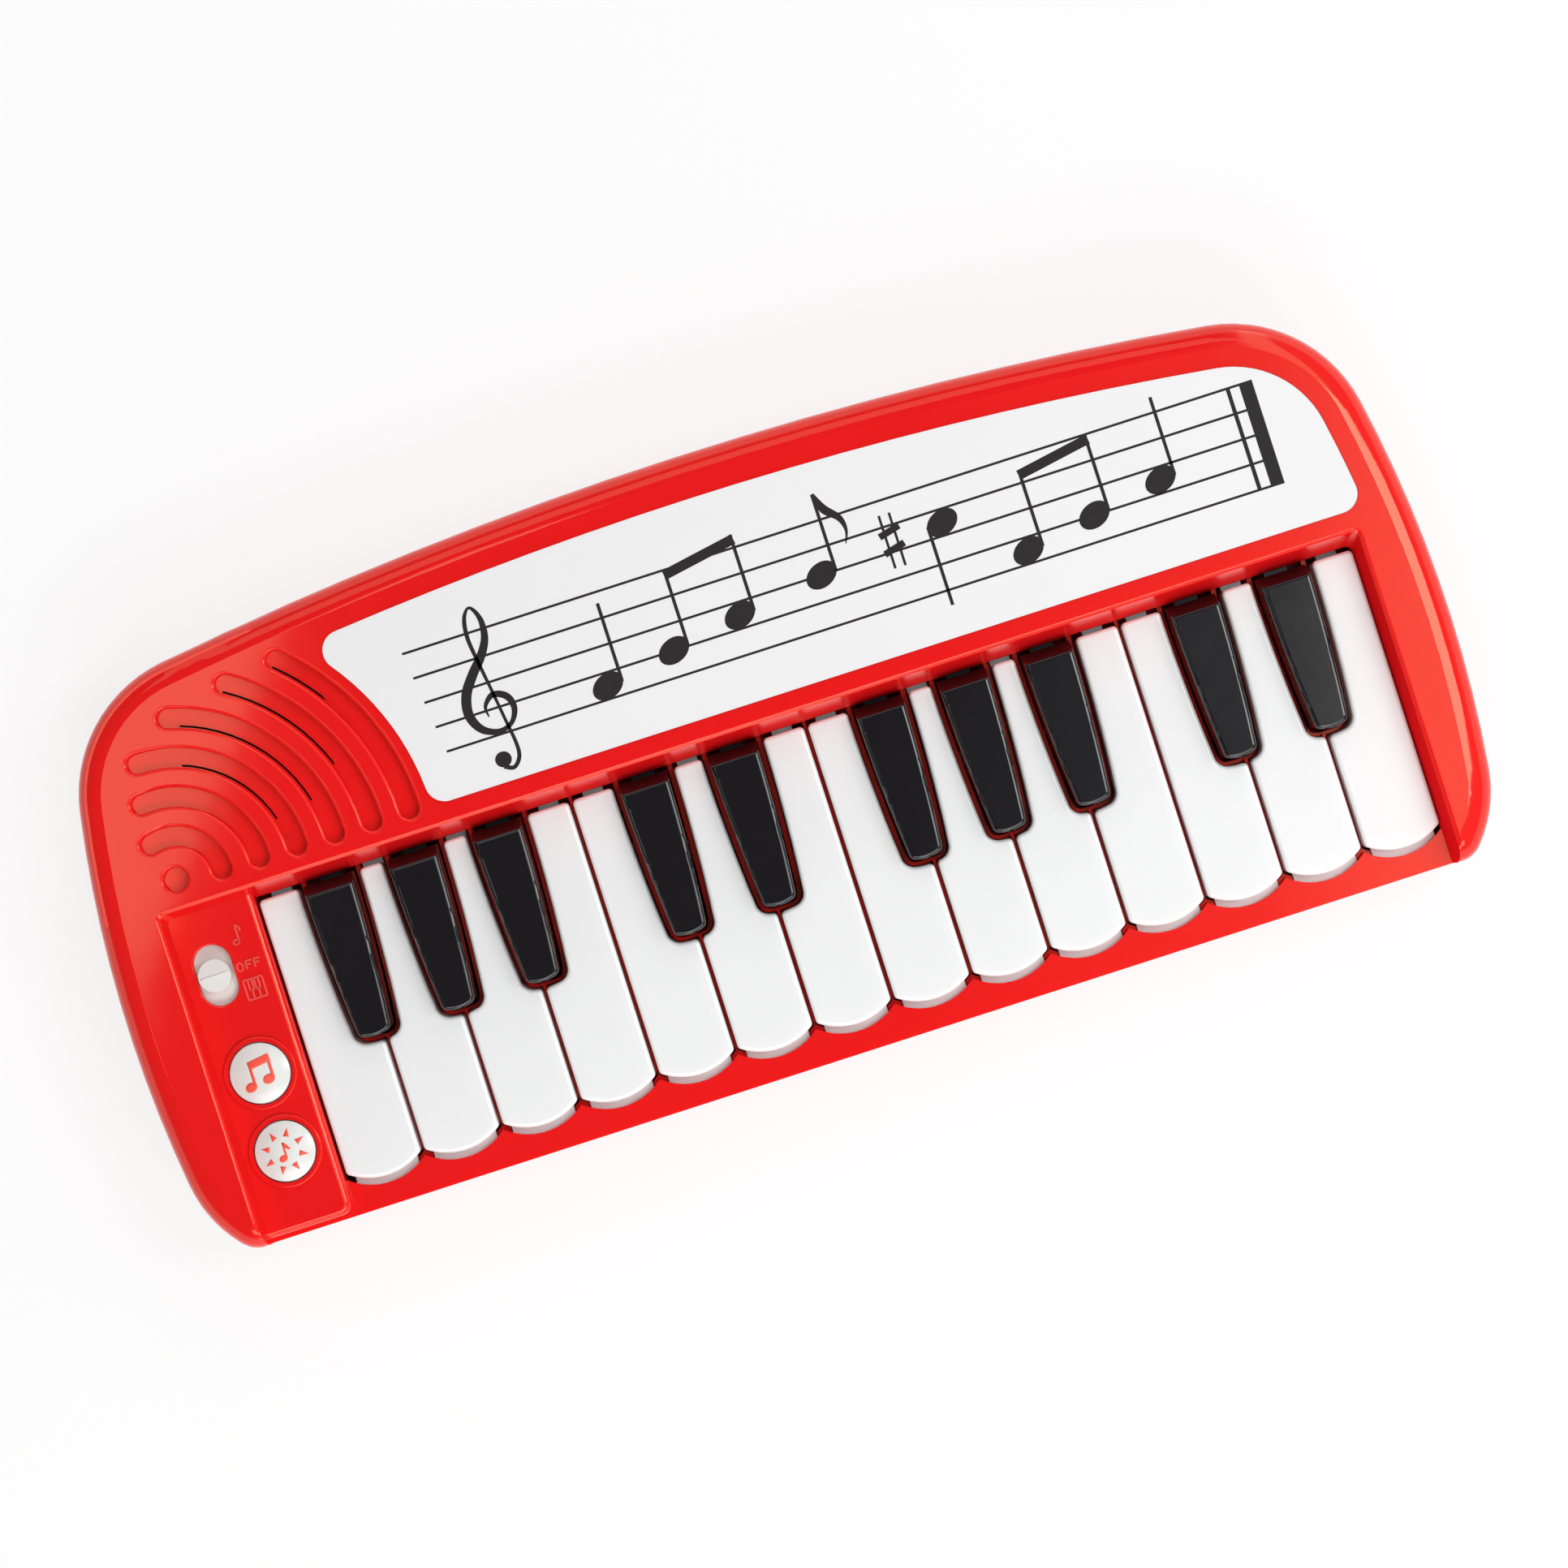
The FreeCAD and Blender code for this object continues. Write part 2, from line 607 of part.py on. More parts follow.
# The two buttons and the switch's plate share what they leave free of the deck's length.
SLOT_HALF = SLOT_WIDTH / 2 + SWITCH_TRAVEL
SLIDE_PLATE_HALF = SLOT_HALF + SWITCH_TRAVEL + 4 * SLIDE_GAP
BUTTON_SPAN = 2 * (BUTTON_RADIUS + BUTTON_FLANGE)
DECK_FREE = WALL_FOOT_OFFSET - 2 * BUTTON_SPAN - 2 * SLIDE_PLATE_HALF
EFFECT_Y = Y_FRONT + FREE_BEFORE_BUTTONS * DECK_FREE + BUTTON_SPAN / 2
MELODY_Y = EFFECT_Y + FREE_BETWEEN_BUTTONS * DECK_FREE + BUTTON_SPAN
BUTTON_PLACES = {"melody_button": (DECK_LEFT + BUTTON_X, MELODY_Y),
                 "effect_button": (DECK_LEFT + BUTTON_X, EFFECT_Y)}
SWITCH_PLACE = (DECK_LEFT + SWITCH_X,
                Y_WALL_FOOT - FREE_BEHIND_SWITCH * DECK_FREE - SLIDE_PLATE_HALF)

CHEEK_X = CASE_HALF - CHEEK_WIDTH / 2
CASE_SCREWS = [(side * x, y) for side in (-1, 1)
               for x, y in ((CHEEK_X, Y_FRONT + FRONT_SCREW_AT),
                            (CHEEK_X - MIDDLE_SCREW_IN, Y_BACK - MIDDLE_SCREW_FROM_BACK),
                            (CHEEK_X - REAR_SCREW_IN, Y_BACK - REAR_SCREW_FROM_BACK))]
BOTTOM_OF_BOSS = Z_SEAM - CASE_BOSS_DROP
POST_LEFT = DECK_LEFT + WELL_WALL + POST_RADIUS
POST_RIGHT = DECK_RIGHT - WELL_WALL - CONTROL_BOARD_PLAY - POST_RADIUS
BETWEEN_BUTTONS = sum(y for x, y in BUTTON_PLACES.values()) / len(BUTTON_PLACES)
CONTROL_POSTS = [(POST_LEFT, BETWEEN_BUTTONS), (POST_RIGHT, BETWEEN_BUTTONS), (POST_RIGHT, SWITCH_PLACE[1])]
Z_BUTTON_DOME = Z_CONTROL + DOME_SHEET + BUTTON_DOME_HEIGHT
CONE_RADIUS = SPEAKER_RADIUS - SPEAKER_SURROUND


def around(x, y, radius, degrees):
    """A point on a circle about an upright axis."""
    a = math.radians(degrees)
    return (x + radius * math.cos(a), y + radius * math.sin(a), 0.0)


SPEAKER_SCREW_CIRCLE = SPEAKER_RADIUS + POST_RADIUS + SLIDE_GAP
SPEAKER_SCREW_ANGLES = [SPEAKER_SCREW_START + 360 * i / SPEAKER_SCREWS for i in range(SPEAKER_SCREWS)]
SPEAKER_SCREW_PLACES = [around(SPEAKER_X, SPEAKER_Y, SPEAKER_SCREW_CIRCLE, a) for a in SPEAKER_SCREW_ANGLES]


def ring_sector(radius, width, start, end, z0, z1):
    """Part of a ring about the grille's pocket, with round ends."""
    inner = radius - width / 2
    outer = radius + width / 2
    cap = math.degrees(width / 2 / radius)
    middle = (start + end) / 2

    def at(r, degrees):
        return around(GRILLE_X, GRILLE_Y, r, degrees)

    edges = [arc(at(outer, start), at(outer, middle), at(outer, end)),
             arc(at(outer, end), at(radius, end + cap), at(inner, end)),
             arc(at(inner, end), at(inner, middle), at(inner, start)),
             arc(at(inner, start), at(radius, start - cap), at(outer, start))]
    return prism(edges, z0, z1)


def label_prism(play, z0, z1):
    """The label's plan: the case outline drawn in, cut off at the front and round the grille."""
    y_edge = Y_WALL_TOP + LABEL_FRONT_GAP + play
    grille_edge = GRILLE_RADII[-1] + GROOVE_WIDTH / 2 + LABEL_GRILLE_GAP + play
    body = prism(case_outline(LABEL_INSET + play), z0, z1)
    body = body.cut(block(-CASE_HALF, CASE_HALF, Y_FRONT, y_edge, z0 - CUT_PAST, z1 + CUT_PAST))
    body = body.cut(post(GRILLE_X, GRILLE_Y, z0 - CUT_PAST, z1 + CUT_PAST, grille_edge))
    body = max(body.Solids, key=lambda solid: solid.Volume)
    sharp = [e for e in body.Edges if e.BoundBox.ZLength > (z1 - z0) / 2
             and (e.CenterOfMass.x < 0 or e.CenterOfMass.y < y_edge + LABEL_CORNER / 10)]
    return body.makeFillet(LABEL_CORNER - play, sharp)


def rolled_prism(inset, z0, z1, radius, z_roll):
    """The case plan as a solid with one flat end's edge rolled over."""
    body = prism(case_outline(inset), z0, z1)
    return body.makeFillet(radius, top_edges(body, z_roll))


def stadium(x, y, width, length, z0, z1):
    """An upright slot shape, long in Y, with round ends."""
    r = width / 2
    h = length / 2 - r
    edges = [line((x - r, y - h, 0), (x - r, y + h, 0)),
             arc((x - r, y + h, 0), (x, y + h + r, 0), (x + r, y + h, 0)),
             line((x + r, y + h, 0), (x + r, y - h, 0)),
             arc((x + r, y - h, 0), (x, y - h - r, 0), (x - r, y - h, 0))]
    return prism(edges, z0, z1)


def key_opening(z0, z1):
    """The window that the keys fill, scalloped along the ledge."""
    xs = [DECK_RIGHT] + [joint_x(k) for k in range(1, WHITE_KEYS)] + [WELL_RIGHT]
    cusp = Y_LEDGE + LEDGE_CUSP
    edges = [arc((a, cusp, 0), ((a + b) / 2, Y_LEDGE, 0), (b, cusp, 0)) for a, b in zip(xs, xs[1:])]
    edges += [line((xs[-1], cusp, 0), (xs[-1], Y_WALL_FOOT, 0)),
              line((xs[-1], Y_WALL_FOOT, 0), (xs[0], Y_WALL_FOOT, 0)),
              line((xs[0], Y_WALL_FOOT, 0), (xs[0], cusp, 0))]
    return prism(edges, z0, z1)


def deck_block():
    """The raised control deck with its rounded free edges and button collars."""
    y0 = Y_FRONT + DECK_FRONT_GAP
    y1 = Y_WALL_FOOT + REAR_WALL_SLOPE * DECK_RISE / HOOD_RISE + WELL_WALL / 2
    body = block(DECK_LEFT - WELL_WALL / 2, DECK_RIGHT, y0, y1, Z_LEDGE - WELL_WALL, Z_DECK)
    body = body.makeFillet(DECK_CORNER_RADIUS, upright_edges(body, DECK_RIGHT, y0))
    free = [e for e in top_edges(body, Z_DECK)
            if e.CenterOfMass.x > DECK_RIGHT - DECK_CORNER_RADIUS
            or e.CenterOfMass.y < y0 + DECK_CORNER_RADIUS]
    body = body.makeFillet(DECK_EDGE_RADIUS, free)
    for x, y in BUTTON_PLACES.values():
        collar = BUTTON_RADIUS + BUTTON_CLEARANCE + COLLAR_WIDTH
        ring = post(x, y, Z_DECK_UNDER, Z_DECK + COLLAR_HEIGHT, collar)
        body = body.fuse(ring.makeFillet(COLLAR_HEIGHT / 2, top_edges(ring, Z_DECK + COLLAR_HEIGHT)))
    return body


def rod_rib(k):
    """A rib under the hood with a seat for the pivot rod, open downward."""
    x0 = joint_x(k) - RIB_THICKNESS / 2
    x1 = joint_x(k) + RIB_THICKNESS / 2
    seat = ROD_RADIUS + ROD_CLEARANCE
    plate = block(x0, x1, Y_ROD - RIB_DEPTH / 2, Y_ROD + RIB_DEPTH / 2, Z_ROD - ROD_RADIUS * 0.7,
                  Z_CEILING + CASE_WALL / 2)
    slot = cross_rod(x0, x1, Y_ROD, Z_ROD, seat)
    mouth = block(x0, x1, Y_ROD - seat, Y_ROD + seat, Z_ROD - 2 * ROD_RADIUS, Z_ROD)
    return plate.cut(slot.fuse(mouth))


def upper_case():
    """The red top moulding: hood, cheeks, well, ledge and deck in one skin."""
    outer = rolled_prism(0, Z_SEAM, Z_HOOD, TOP_EDGE_RADIUS, Z_HOOD)
    inner = rolled_prism(CASE_WALL, Z_SEAM, Z_CEILING, TOP_EDGE_RADIUS - CASE_WALL, Z_CEILING)
    liner = outer.common(well_volume(Z_LEDGE - WELL_WALL, WELL_WALL))
    body = outer.cut(inner).fuse(liner).cut(well_volume(Z_LEDGE, 0))

    pad = post(GRILLE_X, GRILLE_Y, Z_GRILLE_UNDER, Z_CEILING + CASE_WALL / 2,
               GRILLE_RADII[-1] + GROOVE_WIDTH)
    pad = pad.common(block(-CASE_HALF, CASE_HALF, Y_WALL_TOP + WELL_EDGE * 2, Y_BACK, 0, Z_HOOD))
    pad = pad.common(prism(case_outline(CASE_WALL), Z_SEAM, Z_HOOD))
    added = [pad, deck_block()]
    added += [rod_rib(k) for k in RIB_AT]
    added += [post(x, y, BOTTOM_OF_BOSS, Z_CEILING + CASE_WALL / 2, BOSS_RADIUS) for x, y in CASE_SCREWS]
    added += [post(x, y, Z_GRILLE_UNDER - SPEAKER_RIM, Z_GRILLE_UNDER + CASE_WALL / 2, POST_RADIUS)
              for x, y, _ in SPEAKER_SCREW_PLACES]
    body = body.fuse(added)

    hollow = block(DECK_LEFT + WELL_WALL, DECK_RIGHT - WELL_WALL, Y_FRONT + DECK_FRONT_GAP + WELL_WALL,
                   Y_WALL_FOOT - SLIDE_GAP, Z_SEAM, Z_DECK_UNDER)
    cuts = [hollow, key_opening(Z_LEDGE - 2 * WELL_WALL, Z_LEDGE)]
    body = body.cut(cuts)
    body = body.fuse([post(x, y, Z_CONTROL, Z_DECK_UNDER + WELL_WALL / 2, POST_RADIUS)
                      for x, y in CONTROL_POSTS])

    cuts = [label_prism(0, Z_HOOD - LABEL_RECESS, Z_HOOD + CUT_PAST)]
    for i, (radius, end) in enumerate(zip(GRILLE_RADII, GRILLE_END_ANGLES)):
        z_floor = Z_HOOD - GROOVE_DEPTH
        cuts.append(ring_sector(radius, GROOVE_WIDTH, 0.0, end, z_floor, Z_HOOD + CUT_PAST))
        if i >= SLIT_FROM_GROOVE:
            slit_radius = radius - (GROOVE_WIDTH - SLIT_WIDTH) / 2 + SLIT_FROM_SIDE
            slit = ring_sector(slit_radius, SLIT_WIDTH, 0.0, end,
                               Z_GRILLE_UNDER - CUT_PAST, z_floor + GROOVE_DEPTH / 2)
            sound = post(SPEAKER_X, SPEAKER_Y, Z_GRILLE_UNDER - CUT_PAST, Z_HOOD, CONE_RADIUS)
            cuts.append(slit.common(sound))
    cuts.append(post(GRILLE_X, GRILLE_Y + POCKET_DY, Z_HOOD - GROOVE_DEPTH, Z_HOOD + CUT_PAST, POCKET_RADIUS))
    for x, y in BUTTON_PLACES.values():
        cuts.append(post(x, y, Z_DECK_UNDER - CUT_PAST, Z_DECK + CUT_PAST, BUTTON_RADIUS + BUTTON_CLEARANCE))
    x, y = SWITCH_PLACE
    cuts.append(stadium(x, y, SLOT_WIDTH, 2 * SLOT_HALF, Z_DECK_UNDER - CUT_PAST, Z_DECK + CUT_PAST))
    pilot = SCREW_RADIUS + SCREW_CLEARANCE
    deep = PILOT_SPARE
    z_bite = BOTTOM_OF_BOSS + CASE_SCREW_BITE
    cuts += [post(x, y, BOTTOM_OF_BOSS, z_bite + deep, pilot) for x, y in CASE_SCREWS]
    cuts += [post(x, y, Z_CONTROL, Z_CONTROL + BOARD_SCREW_BITE + deep, pilot) for x, y in CONTROL_POSTS]
    z_rim = Z_GRILLE_UNDER - SPEAKER_RIM
    cuts += [post(x, y, z_rim, z_rim + SPEAKER_SCREW_BITE + deep, pilot) for x, y, _ in SPEAKER_SCREW_PLACES]
    body = one_solid(body.cut(cuts))
    grille_edge = GRILLE_RADII[-1] + (GROOVE_WIDTH + LABEL_GRILLE_GAP) / 2
    body = body.makeFillet(GROOVE_EDGE_RADIUS, edges_round(body, Z_HOOD, GRILLE_X, GRILLE_Y, grille_edge))
    return body.makeFillet(SLOT_EDGE_RADIUS, edges_round(body, Z_DECK, *SWITCH_PLACE, SLOT_HALF + SLIDE_GAP))


# Lower case with the battery bay
BAY_HALF = CELL_LENGTH / 2 + CONTACT_SPACE
BAY_LEFT = BAY_X - BAY_HALF
BAY_RIGHT = BAY_X + BAY_HALF
CELL_STEP = 2 * CELL_RADIUS + CELL_GAP
BAY_FRONT = Y_ROD + BAY_FROM_ROD
BAY_BACK = BAY_FRONT + CELL_COUNT * CELL_STEP
Z_CELLS = Z_FLOOR + DOOR_THICKNESS + 2 * DOOR_CLEARANCE + CELL_RADIUS
Z_BAY_ROOF = Z_CELLS + CELL_RADIUS + DOOR_CLEARANCE
DOOR_TABS = [BAY_X - BAY_HALF * DOOR_TAB_AT, BAY_X + BAY_HALF * DOOR_TAB_AT]
DOOR_TURN_RADIUS = DOOR_THICKNESS / 2
DOOR_TURN = (BAY_BACK - DOOR_CLEARANCE - DOOR_TURN_RADIUS, Z_FLOOR + DOOR_TURN_RADIUS)
DOOR_SCREW = (BAY_X, BAY_FRONT - DOOR_EAR / 2 + BAY_WALL)
Z_TAB = Z_INSIDE + SLIDE_GAP
BOARD_HALF = BOARD_DEPTH / 2
BOARD_SCREWS = [(joint_x(k), Y_DOMES + side * (BOARD_HALF - SCREW_HEAD_RADIUS - BOARD_EDGE_GAP))
                for k in BOARD_SCREWS_AT for side in (-1, 1)]


def lower_case():
    """The red tray: floor, seam lip, rod saddles, board posts, screw cups and the battery bay."""
    outer = prism(case_outline(SEAM_STEP), Z_FLOOR, Z_SEAM)
    outer = outer.makeFillet(BOTTOM_EDGE_RADIUS, top_edges(outer, Z_FLOOR))
    inner = prism(case_outline(SEAM_STEP + CASE_WALL), Z_INSIDE, Z_SEAM)
    lip = prism(case_outline(CASE_WALL + LIP_PLAY), Z_SEAM - LIP_HEIGHT, Z_SEAM + LIP_HEIGHT)
    lip = lip.cut(prism(case_outline(CASE_WALL + LIP_PLAY + LIP_WIDTH), Z_SEAM - LIP_HEIGHT,
                        Z_SEAM + LIP_HEIGHT))
    added = [lip]
    for k in RIB_AT:
        added.append(block(joint_x(k) - RIB_THICKNESS / 2, joint_x(k) + RIB_THICKNESS / 2,
                           Y_ROD - SADDLE_DEPTH / 2, Y_ROD + SADDLE_DEPTH / 2,
                           Z_INSIDE - CASE_WALL / 2, Z_ROD - ROD_RADIUS))
    added += [post(x, y, Z_INSIDE - CASE_WALL / 2, Z_BOARD, POST_RADIUS) for x, y in BOARD_SCREWS]
    added += [post(x, y, Z_FLOOR, BOTTOM_OF_BOSS, BOSS_RADIUS) for x, y in CASE_SCREWS]
    added.append(block(BAY_LEFT - BAY_WALL, BAY_RIGHT + BAY_WALL, BAY_FRONT - BAY_WALL, BAY_BACK + BAY_WALL,
                       Z_FLOOR, Z_BAY_ROOF + BAY_WALL))
    ear_half = DOOR_EAR / 2
    ear_front = BAY_FRONT - DOOR_EAR + BAY_WALL
    added.append(block(BAY_X - ear_half - BAY_WALL, BAY_X + ear_half + BAY_WALL, ear_front - BAY_WALL,
                       BAY_FRONT, Z_FLOOR, Z_INSIDE + DOOR_SCREW_BITE + BAY_WALL))
    body = outer.cut(inner).fuse(added)

    cuts = [block(BAY_LEFT, BAY_RIGHT, BAY_FRONT, BAY_BACK, Z_FLOOR, Z_BAY_ROOF),
            block(BAY_X - ear_half, BAY_X + ear_half, ear_front, BAY_FRONT, Z_FLOOR, Z_INSIDE),
            post(DOOR_SCREW[0], DOOR_SCREW[1], Z_FLOOR, Z_INSIDE + DOOR_SCREW_BITE + SLIDE_GAP,
                 SCREW_RADIUS + DOOR_SCREW_PLAY)]
    for x in DOOR_TABS:
        half = DOOR_TAB_WIDTH / 2 + DOOR_CLEARANCE
        cuts.append(block(x - half, x + half, BAY_BACK, BAY_BACK + BAY_WALL + DOOR_TAB_REACH, Z_INSIDE,
                          Z_INSIDE + 3 * DOOR_TAB_THICKNESS))
    for x, y in CASE_SCREWS:
        cuts.append(post(x, y, Z_FLOOR, Z_FLOOR + CASE_SCREW_CUP, SCREW_HEAD_RADIUS + 2 * SLIDE_GAP))
        cuts.append(post(x, y, Z_FLOOR, BOTTOM_OF_BOSS, SCREW_RADIUS + 2 * SLIDE_GAP))
    pilot = SCREW_RADIUS + SCREW_CLEARANCE
    cuts += [post(x, y, Z_BOARD - BOARD_SCREW_BITE - PILOT_SPARE, Z_BOARD, pilot) for x, y in BOARD_SCREWS]
    return one_solid(body.cut(cuts))


def battery_door():
    """The bay's door: a rear edge round about its turning line, two hooked tabs and an ear for its screw."""
    gap = DOOR_CLEARANCE
    z1 = Z_FLOOR + DOOR_THICKNESS
    y_back = BAY_BACK - gap
    plate = block(BAY_LEFT + gap, BAY_RIGHT - gap, BAY_FRONT + gap, y_back, Z_FLOOR, z1)
    ear = block(BAY_X - DOOR_EAR / 2 + gap, BAY_X + DOOR_EAR / 2 - gap,
                BAY_FRONT - DOOR_EAR + BAY_WALL + gap, BAY_FRONT + CUT_PAST, Z_FLOOR, z1)
    pieces = [ear]
    z_tab_top = Z_TAB + DOOR_TAB_THICKNESS
    for x in DOOR_TABS:
        half = DOOR_TAB_WIDTH / 2
        pieces.append(block(x - half, x + half, y_back - BAY_WALL, y_back, Z_FLOOR, z_tab_top))
        y_hook = BAY_BACK + DOOR_TAB_REACH
        pieces.append(block(x - half, x + half, y_back - BAY_WALL, y_hook, Z_TAB, z_tab_top))
    body = one_solid(plate.fuse(pieces))
    turning = [e for e in top_edges(body, Z_FLOOR) if e.BoundBox.YMin > DOOR_TURN[0]]
    body = body.makeFillet(DOOR_TURN_RADIUS, turning)
    tips = [e for e in top_edges(body, z_tab_top) if e.BoundBox.YMin > BAY_BACK + DOOR_TAB_REACH / 2]
    body = body.makeFillet(DOOR_TAB_EDGE, tips)
    x, y = DOOR_SCREW
    body = body.cut([post(x, y, Z_FLOOR, Z_FLOOR + DOOR_THICKNESS / 2, SCREW_HEAD_RADIUS + SLIDE_GAP),
                     post(x, y, Z_FLOOR, z1, SCREW_RADIUS + SCREW_CLEARANCE)])
    return one_solid(body)


def screw(x, y, z_seat, bite, head_radius, head, up):
    """A screw whose head sits against a seat, pointing up or down."""
    s = 1 if up else -1
    low = min(z_seat, z_seat - s * head)
    shank_low = min(z_seat, z_seat + s * bite)
    return post(x, y, low, low + head, head_radius).fuse(
        post(x, y, shank_low, shank_low + bite, SCREW_RADIUS)).removeSplitter().Solids[0]


def cell_y(i):
    return BAY_FRONT + CELL_STEP * (i + 0.5)


def cell(i):
    """One battery cell lying along X, turned round in every other row."""
    x0 = BAY_X - CELL_LENGTH / 2
    x1 = BAY_X + CELL_LENGTH / 2
    core = cross_rod(x0, x1, cell_y(i), Z_CELLS, CELL_NUB_RADIUS)
    if i % 2:
        x0 += CELL_NUB
    else:
        x1 -= CELL_NUB
    return one_solid(cross_rod(x0, x1, cell_y(i), Z_CELLS, CELL_RADIUS).fuse(core))


def leaf_contact(i):
    """A folded spring leaf at a cell's flat end."""
    side = 1 if i % 2 else -1
    wall = BAY_X + side * BAY_HALF
    reach = CONTACT_SPACE - SLIDE_GAP
    t = CONTACT_THICKNESS
    tall = CONTACT_HALF
    profile = [(0, -tall), (t, -tall), (t, tall - 2 * t), (reach - t, -t), (reach, 0), (t, tall), (0, tall)]
    points = [(wall - side * dx, cell_y(i) - tall, Z_CELLS + dz) for dx, dz in profile]
    return Part.Face(Part.Wire(closed_loop(points))).extrude(Vector(0, 2 * tall, 0))


def button_contact(i):
    """A stamped plate with a raised boss at a cell's nub."""
    side = -1 if i % 2 else 1
    y = cell_y(i)
    wall = BAY_X + side * BAY_HALF
    tall = CONTACT_HALF
    reach = CONTACT_SPACE - SLIDE_GAP
    x0 = min(wall, wall - side * CONTACT_THICKNESS)
    plate = block(x0, x0 + CONTACT_THICKNESS, y - tall, y + tall, Z_CELLS - tall, Z_CELLS + tall)
    x1 = min(wall, wall - side * reach)
    return one_solid(plate.fuse(cross_rod(x1, x1 + reach, y, Z_CELLS, tall / 2)))


# Controls
def button(name):
    """A domed cap with a flange under the deck and a stem over its dome."""
    x, y = BUTTON_PLACES[name]
    z_flange = Z_DECK_UNDER - SLIDE_GAP
    rim = Z_DECK + BUTTON_RIM
    low = z_flange - FLANGE_THICKNESS
    cap = domed_post(x, y, low, rim, BUTTON_RADIUS, BUTTON_CROWN - BUTTON_RIM)
    cap = cap.makeFillet(BUTTON_EDGE_RADIUS, top_edges(cap, rim))
    flange = post(x, y, low, z_flange, BUTTON_RADIUS + BUTTON_FLANGE)
    stem = post(x, y, Z_BUTTON_DOME + PLUNGER_GAP, low, STEM_RADIUS)
    return one_solid(cap.fuse([flange, stem]))


def switch_knob():
    """The sliding knob: a gabled round cap on a plate that always covers the slot."""
    x, y = SWITCH_PLACE
    top = Z_DECK + KNOB_HEIGHT
    plate_top = Z_DECK_UNDER - SLIDE_GAP
    plate_low = plate_top - SLIDE_PLATE_THICKNESS
    cap = post(x, y, plate_low, top, KNOB_RADIUS)
    r = KNOB_RADIUS
    eave = top - KNOB_CREASE
    gable = closed_loop([(x - r, y - r, plate_low), (x - r, y + r, plate_low), (x - r, y + r, eave),
                         (x - r, y, top), (x - r, y - r, eave)])
    cap = cap.common(Part.Face(Part.Wire(gable)).extrude(Vector(2 * r, 0, 0)))
    plate = block(x - SLIDE_PLATE_WIDTH / 2, x + SLIDE_PLATE_WIDTH / 2,
                  y - SLIDE_PLATE_HALF, y + SLIDE_PLATE_HALF, plate_low, plate_top)
    half = SWITCH_STEM / 2
    stem = block(x - half, x + half, y - half, y + half, Z_CONTROL + SWITCH_BODY_HEIGHT / 2, plate_low)
    return one_solid(cap.fuse([plate, stem]))


def switch_body():
    """The slide switch on the control board, with a slot for the knob's stem."""
    x, y = SWITCH_PLACE
    half = SWITCH_STEM / 2 + SLIDE_GAP
    reach = half + SWITCH_TRAVEL + 4 * SLIDE_GAP
    z1 = Z_CONTROL + SWITCH_BODY_HEIGHT
    wide = SWITCH_BODY_WIDTH / 2
    end = reach + SWITCH_BODY_WALL
    body = block(x - wide, x + wide, y - end, y + end, Z_CONTROL, z1)
    return body.cut(block(x - half, x + half, y - reach, y + reach, Z_CONTROL + SWITCH_BODY_HEIGHT / 3, z1))


def control_board():
    """The board under the deck that holds the switch and the button contacts."""
    x0 = DECK_LEFT + WELL_WALL + CONTROL_BOARD_PLAY
    x1 = DECK_RIGHT - WELL_WALL - CONTROL_BOARD_PLAY
    board = block(x0, x1, Y_FRONT + DECK_FRONT_GAP + CONTROL_BOARD_FRONT_GAP, Y_WALL_FOOT - WELL_WALL,
                  Z_CONTROL - BOARD_THICKNESS, Z_CONTROL)
    return board.cut([post(x, y, 0, Z_HOOD, SCREW_RADIUS + SCREW_CLEARANCE) for x, y in CONTROL_POSTS])


def dome_strip(places, sheet_half, z_sheet, height):
    """A moulded rubber sheet with one hollow-looking dome for each key or button."""
    xs = [x for x, y in places]
    ys = [y for x, y in places]
    sheet = block(min(xs) - sheet_half, max(xs) + sheet_half, min(ys) - sheet_half, max(ys) + sheet_half,
                  z_sheet, z_sheet + DOME_SHEET)
    domes = [Part.makeCone(DOME_RADIUS, DOME_TOP_RADIUS, height, Vector(x, y, z_sheet + DOME_SHEET))
             for x, y in places]
    return one_solid(sheet.fuse(domes))


# Speaker
def speaker_frame():
    """A pressed steel basket: flat rim, sloped wall and back plate."""
    z_top = Z_GRILLE_UNDER
    z_back = z_top - SPEAKER_DEPTH + MAGNET_HEIGHT
    t = SPEAKER_RIM
    neck = MAGNET_RADIUS + 2 * t
    points = [(CONE_RADIUS, z_top), (SPEAKER_RADIUS, z_top), (SPEAKER_RADIUS, z_top - t),
              (CONE_RADIUS + t, z_top - t), (neck, z_back), (0, z_back), (0, z_back + t),
              (neck - t, z_back + t), (CONE_RADIUS, z_top - 2 * t)]
    return spin(closed_loop([(SPEAKER_X + r, SPEAKER_Y, z) for r, z in points]), SPEAKER_X, SPEAKER_Y)


def speaker_cone():
    """The paper cone and its dust cap, inside the basket."""
    z_top = Z_GRILLE_UNDER - SPEAKER_RIM
    t = SPEAKER_RIM / 2
    z_low = Z_GRILLE_UNDER - SPEAKER_DEPTH + MAGNET_HEIGHT + SPEAKER_RIM
    rim = CONE_RADIUS - SLIDE_GAP
    cap = CONE_RADIUS / 3
    points = [(rim, z_top), (rim, z_top - t), (cap, z_low + t), (cap, z_low), (0, z_low), (0, z_low + 3 * t),
              (cap, z_low + 2 * t)]
    return spin(closed_loop([(SPEAKER_X + r, SPEAKER_Y, z) for r, z in points]), SPEAKER_X, SPEAKER_Y)


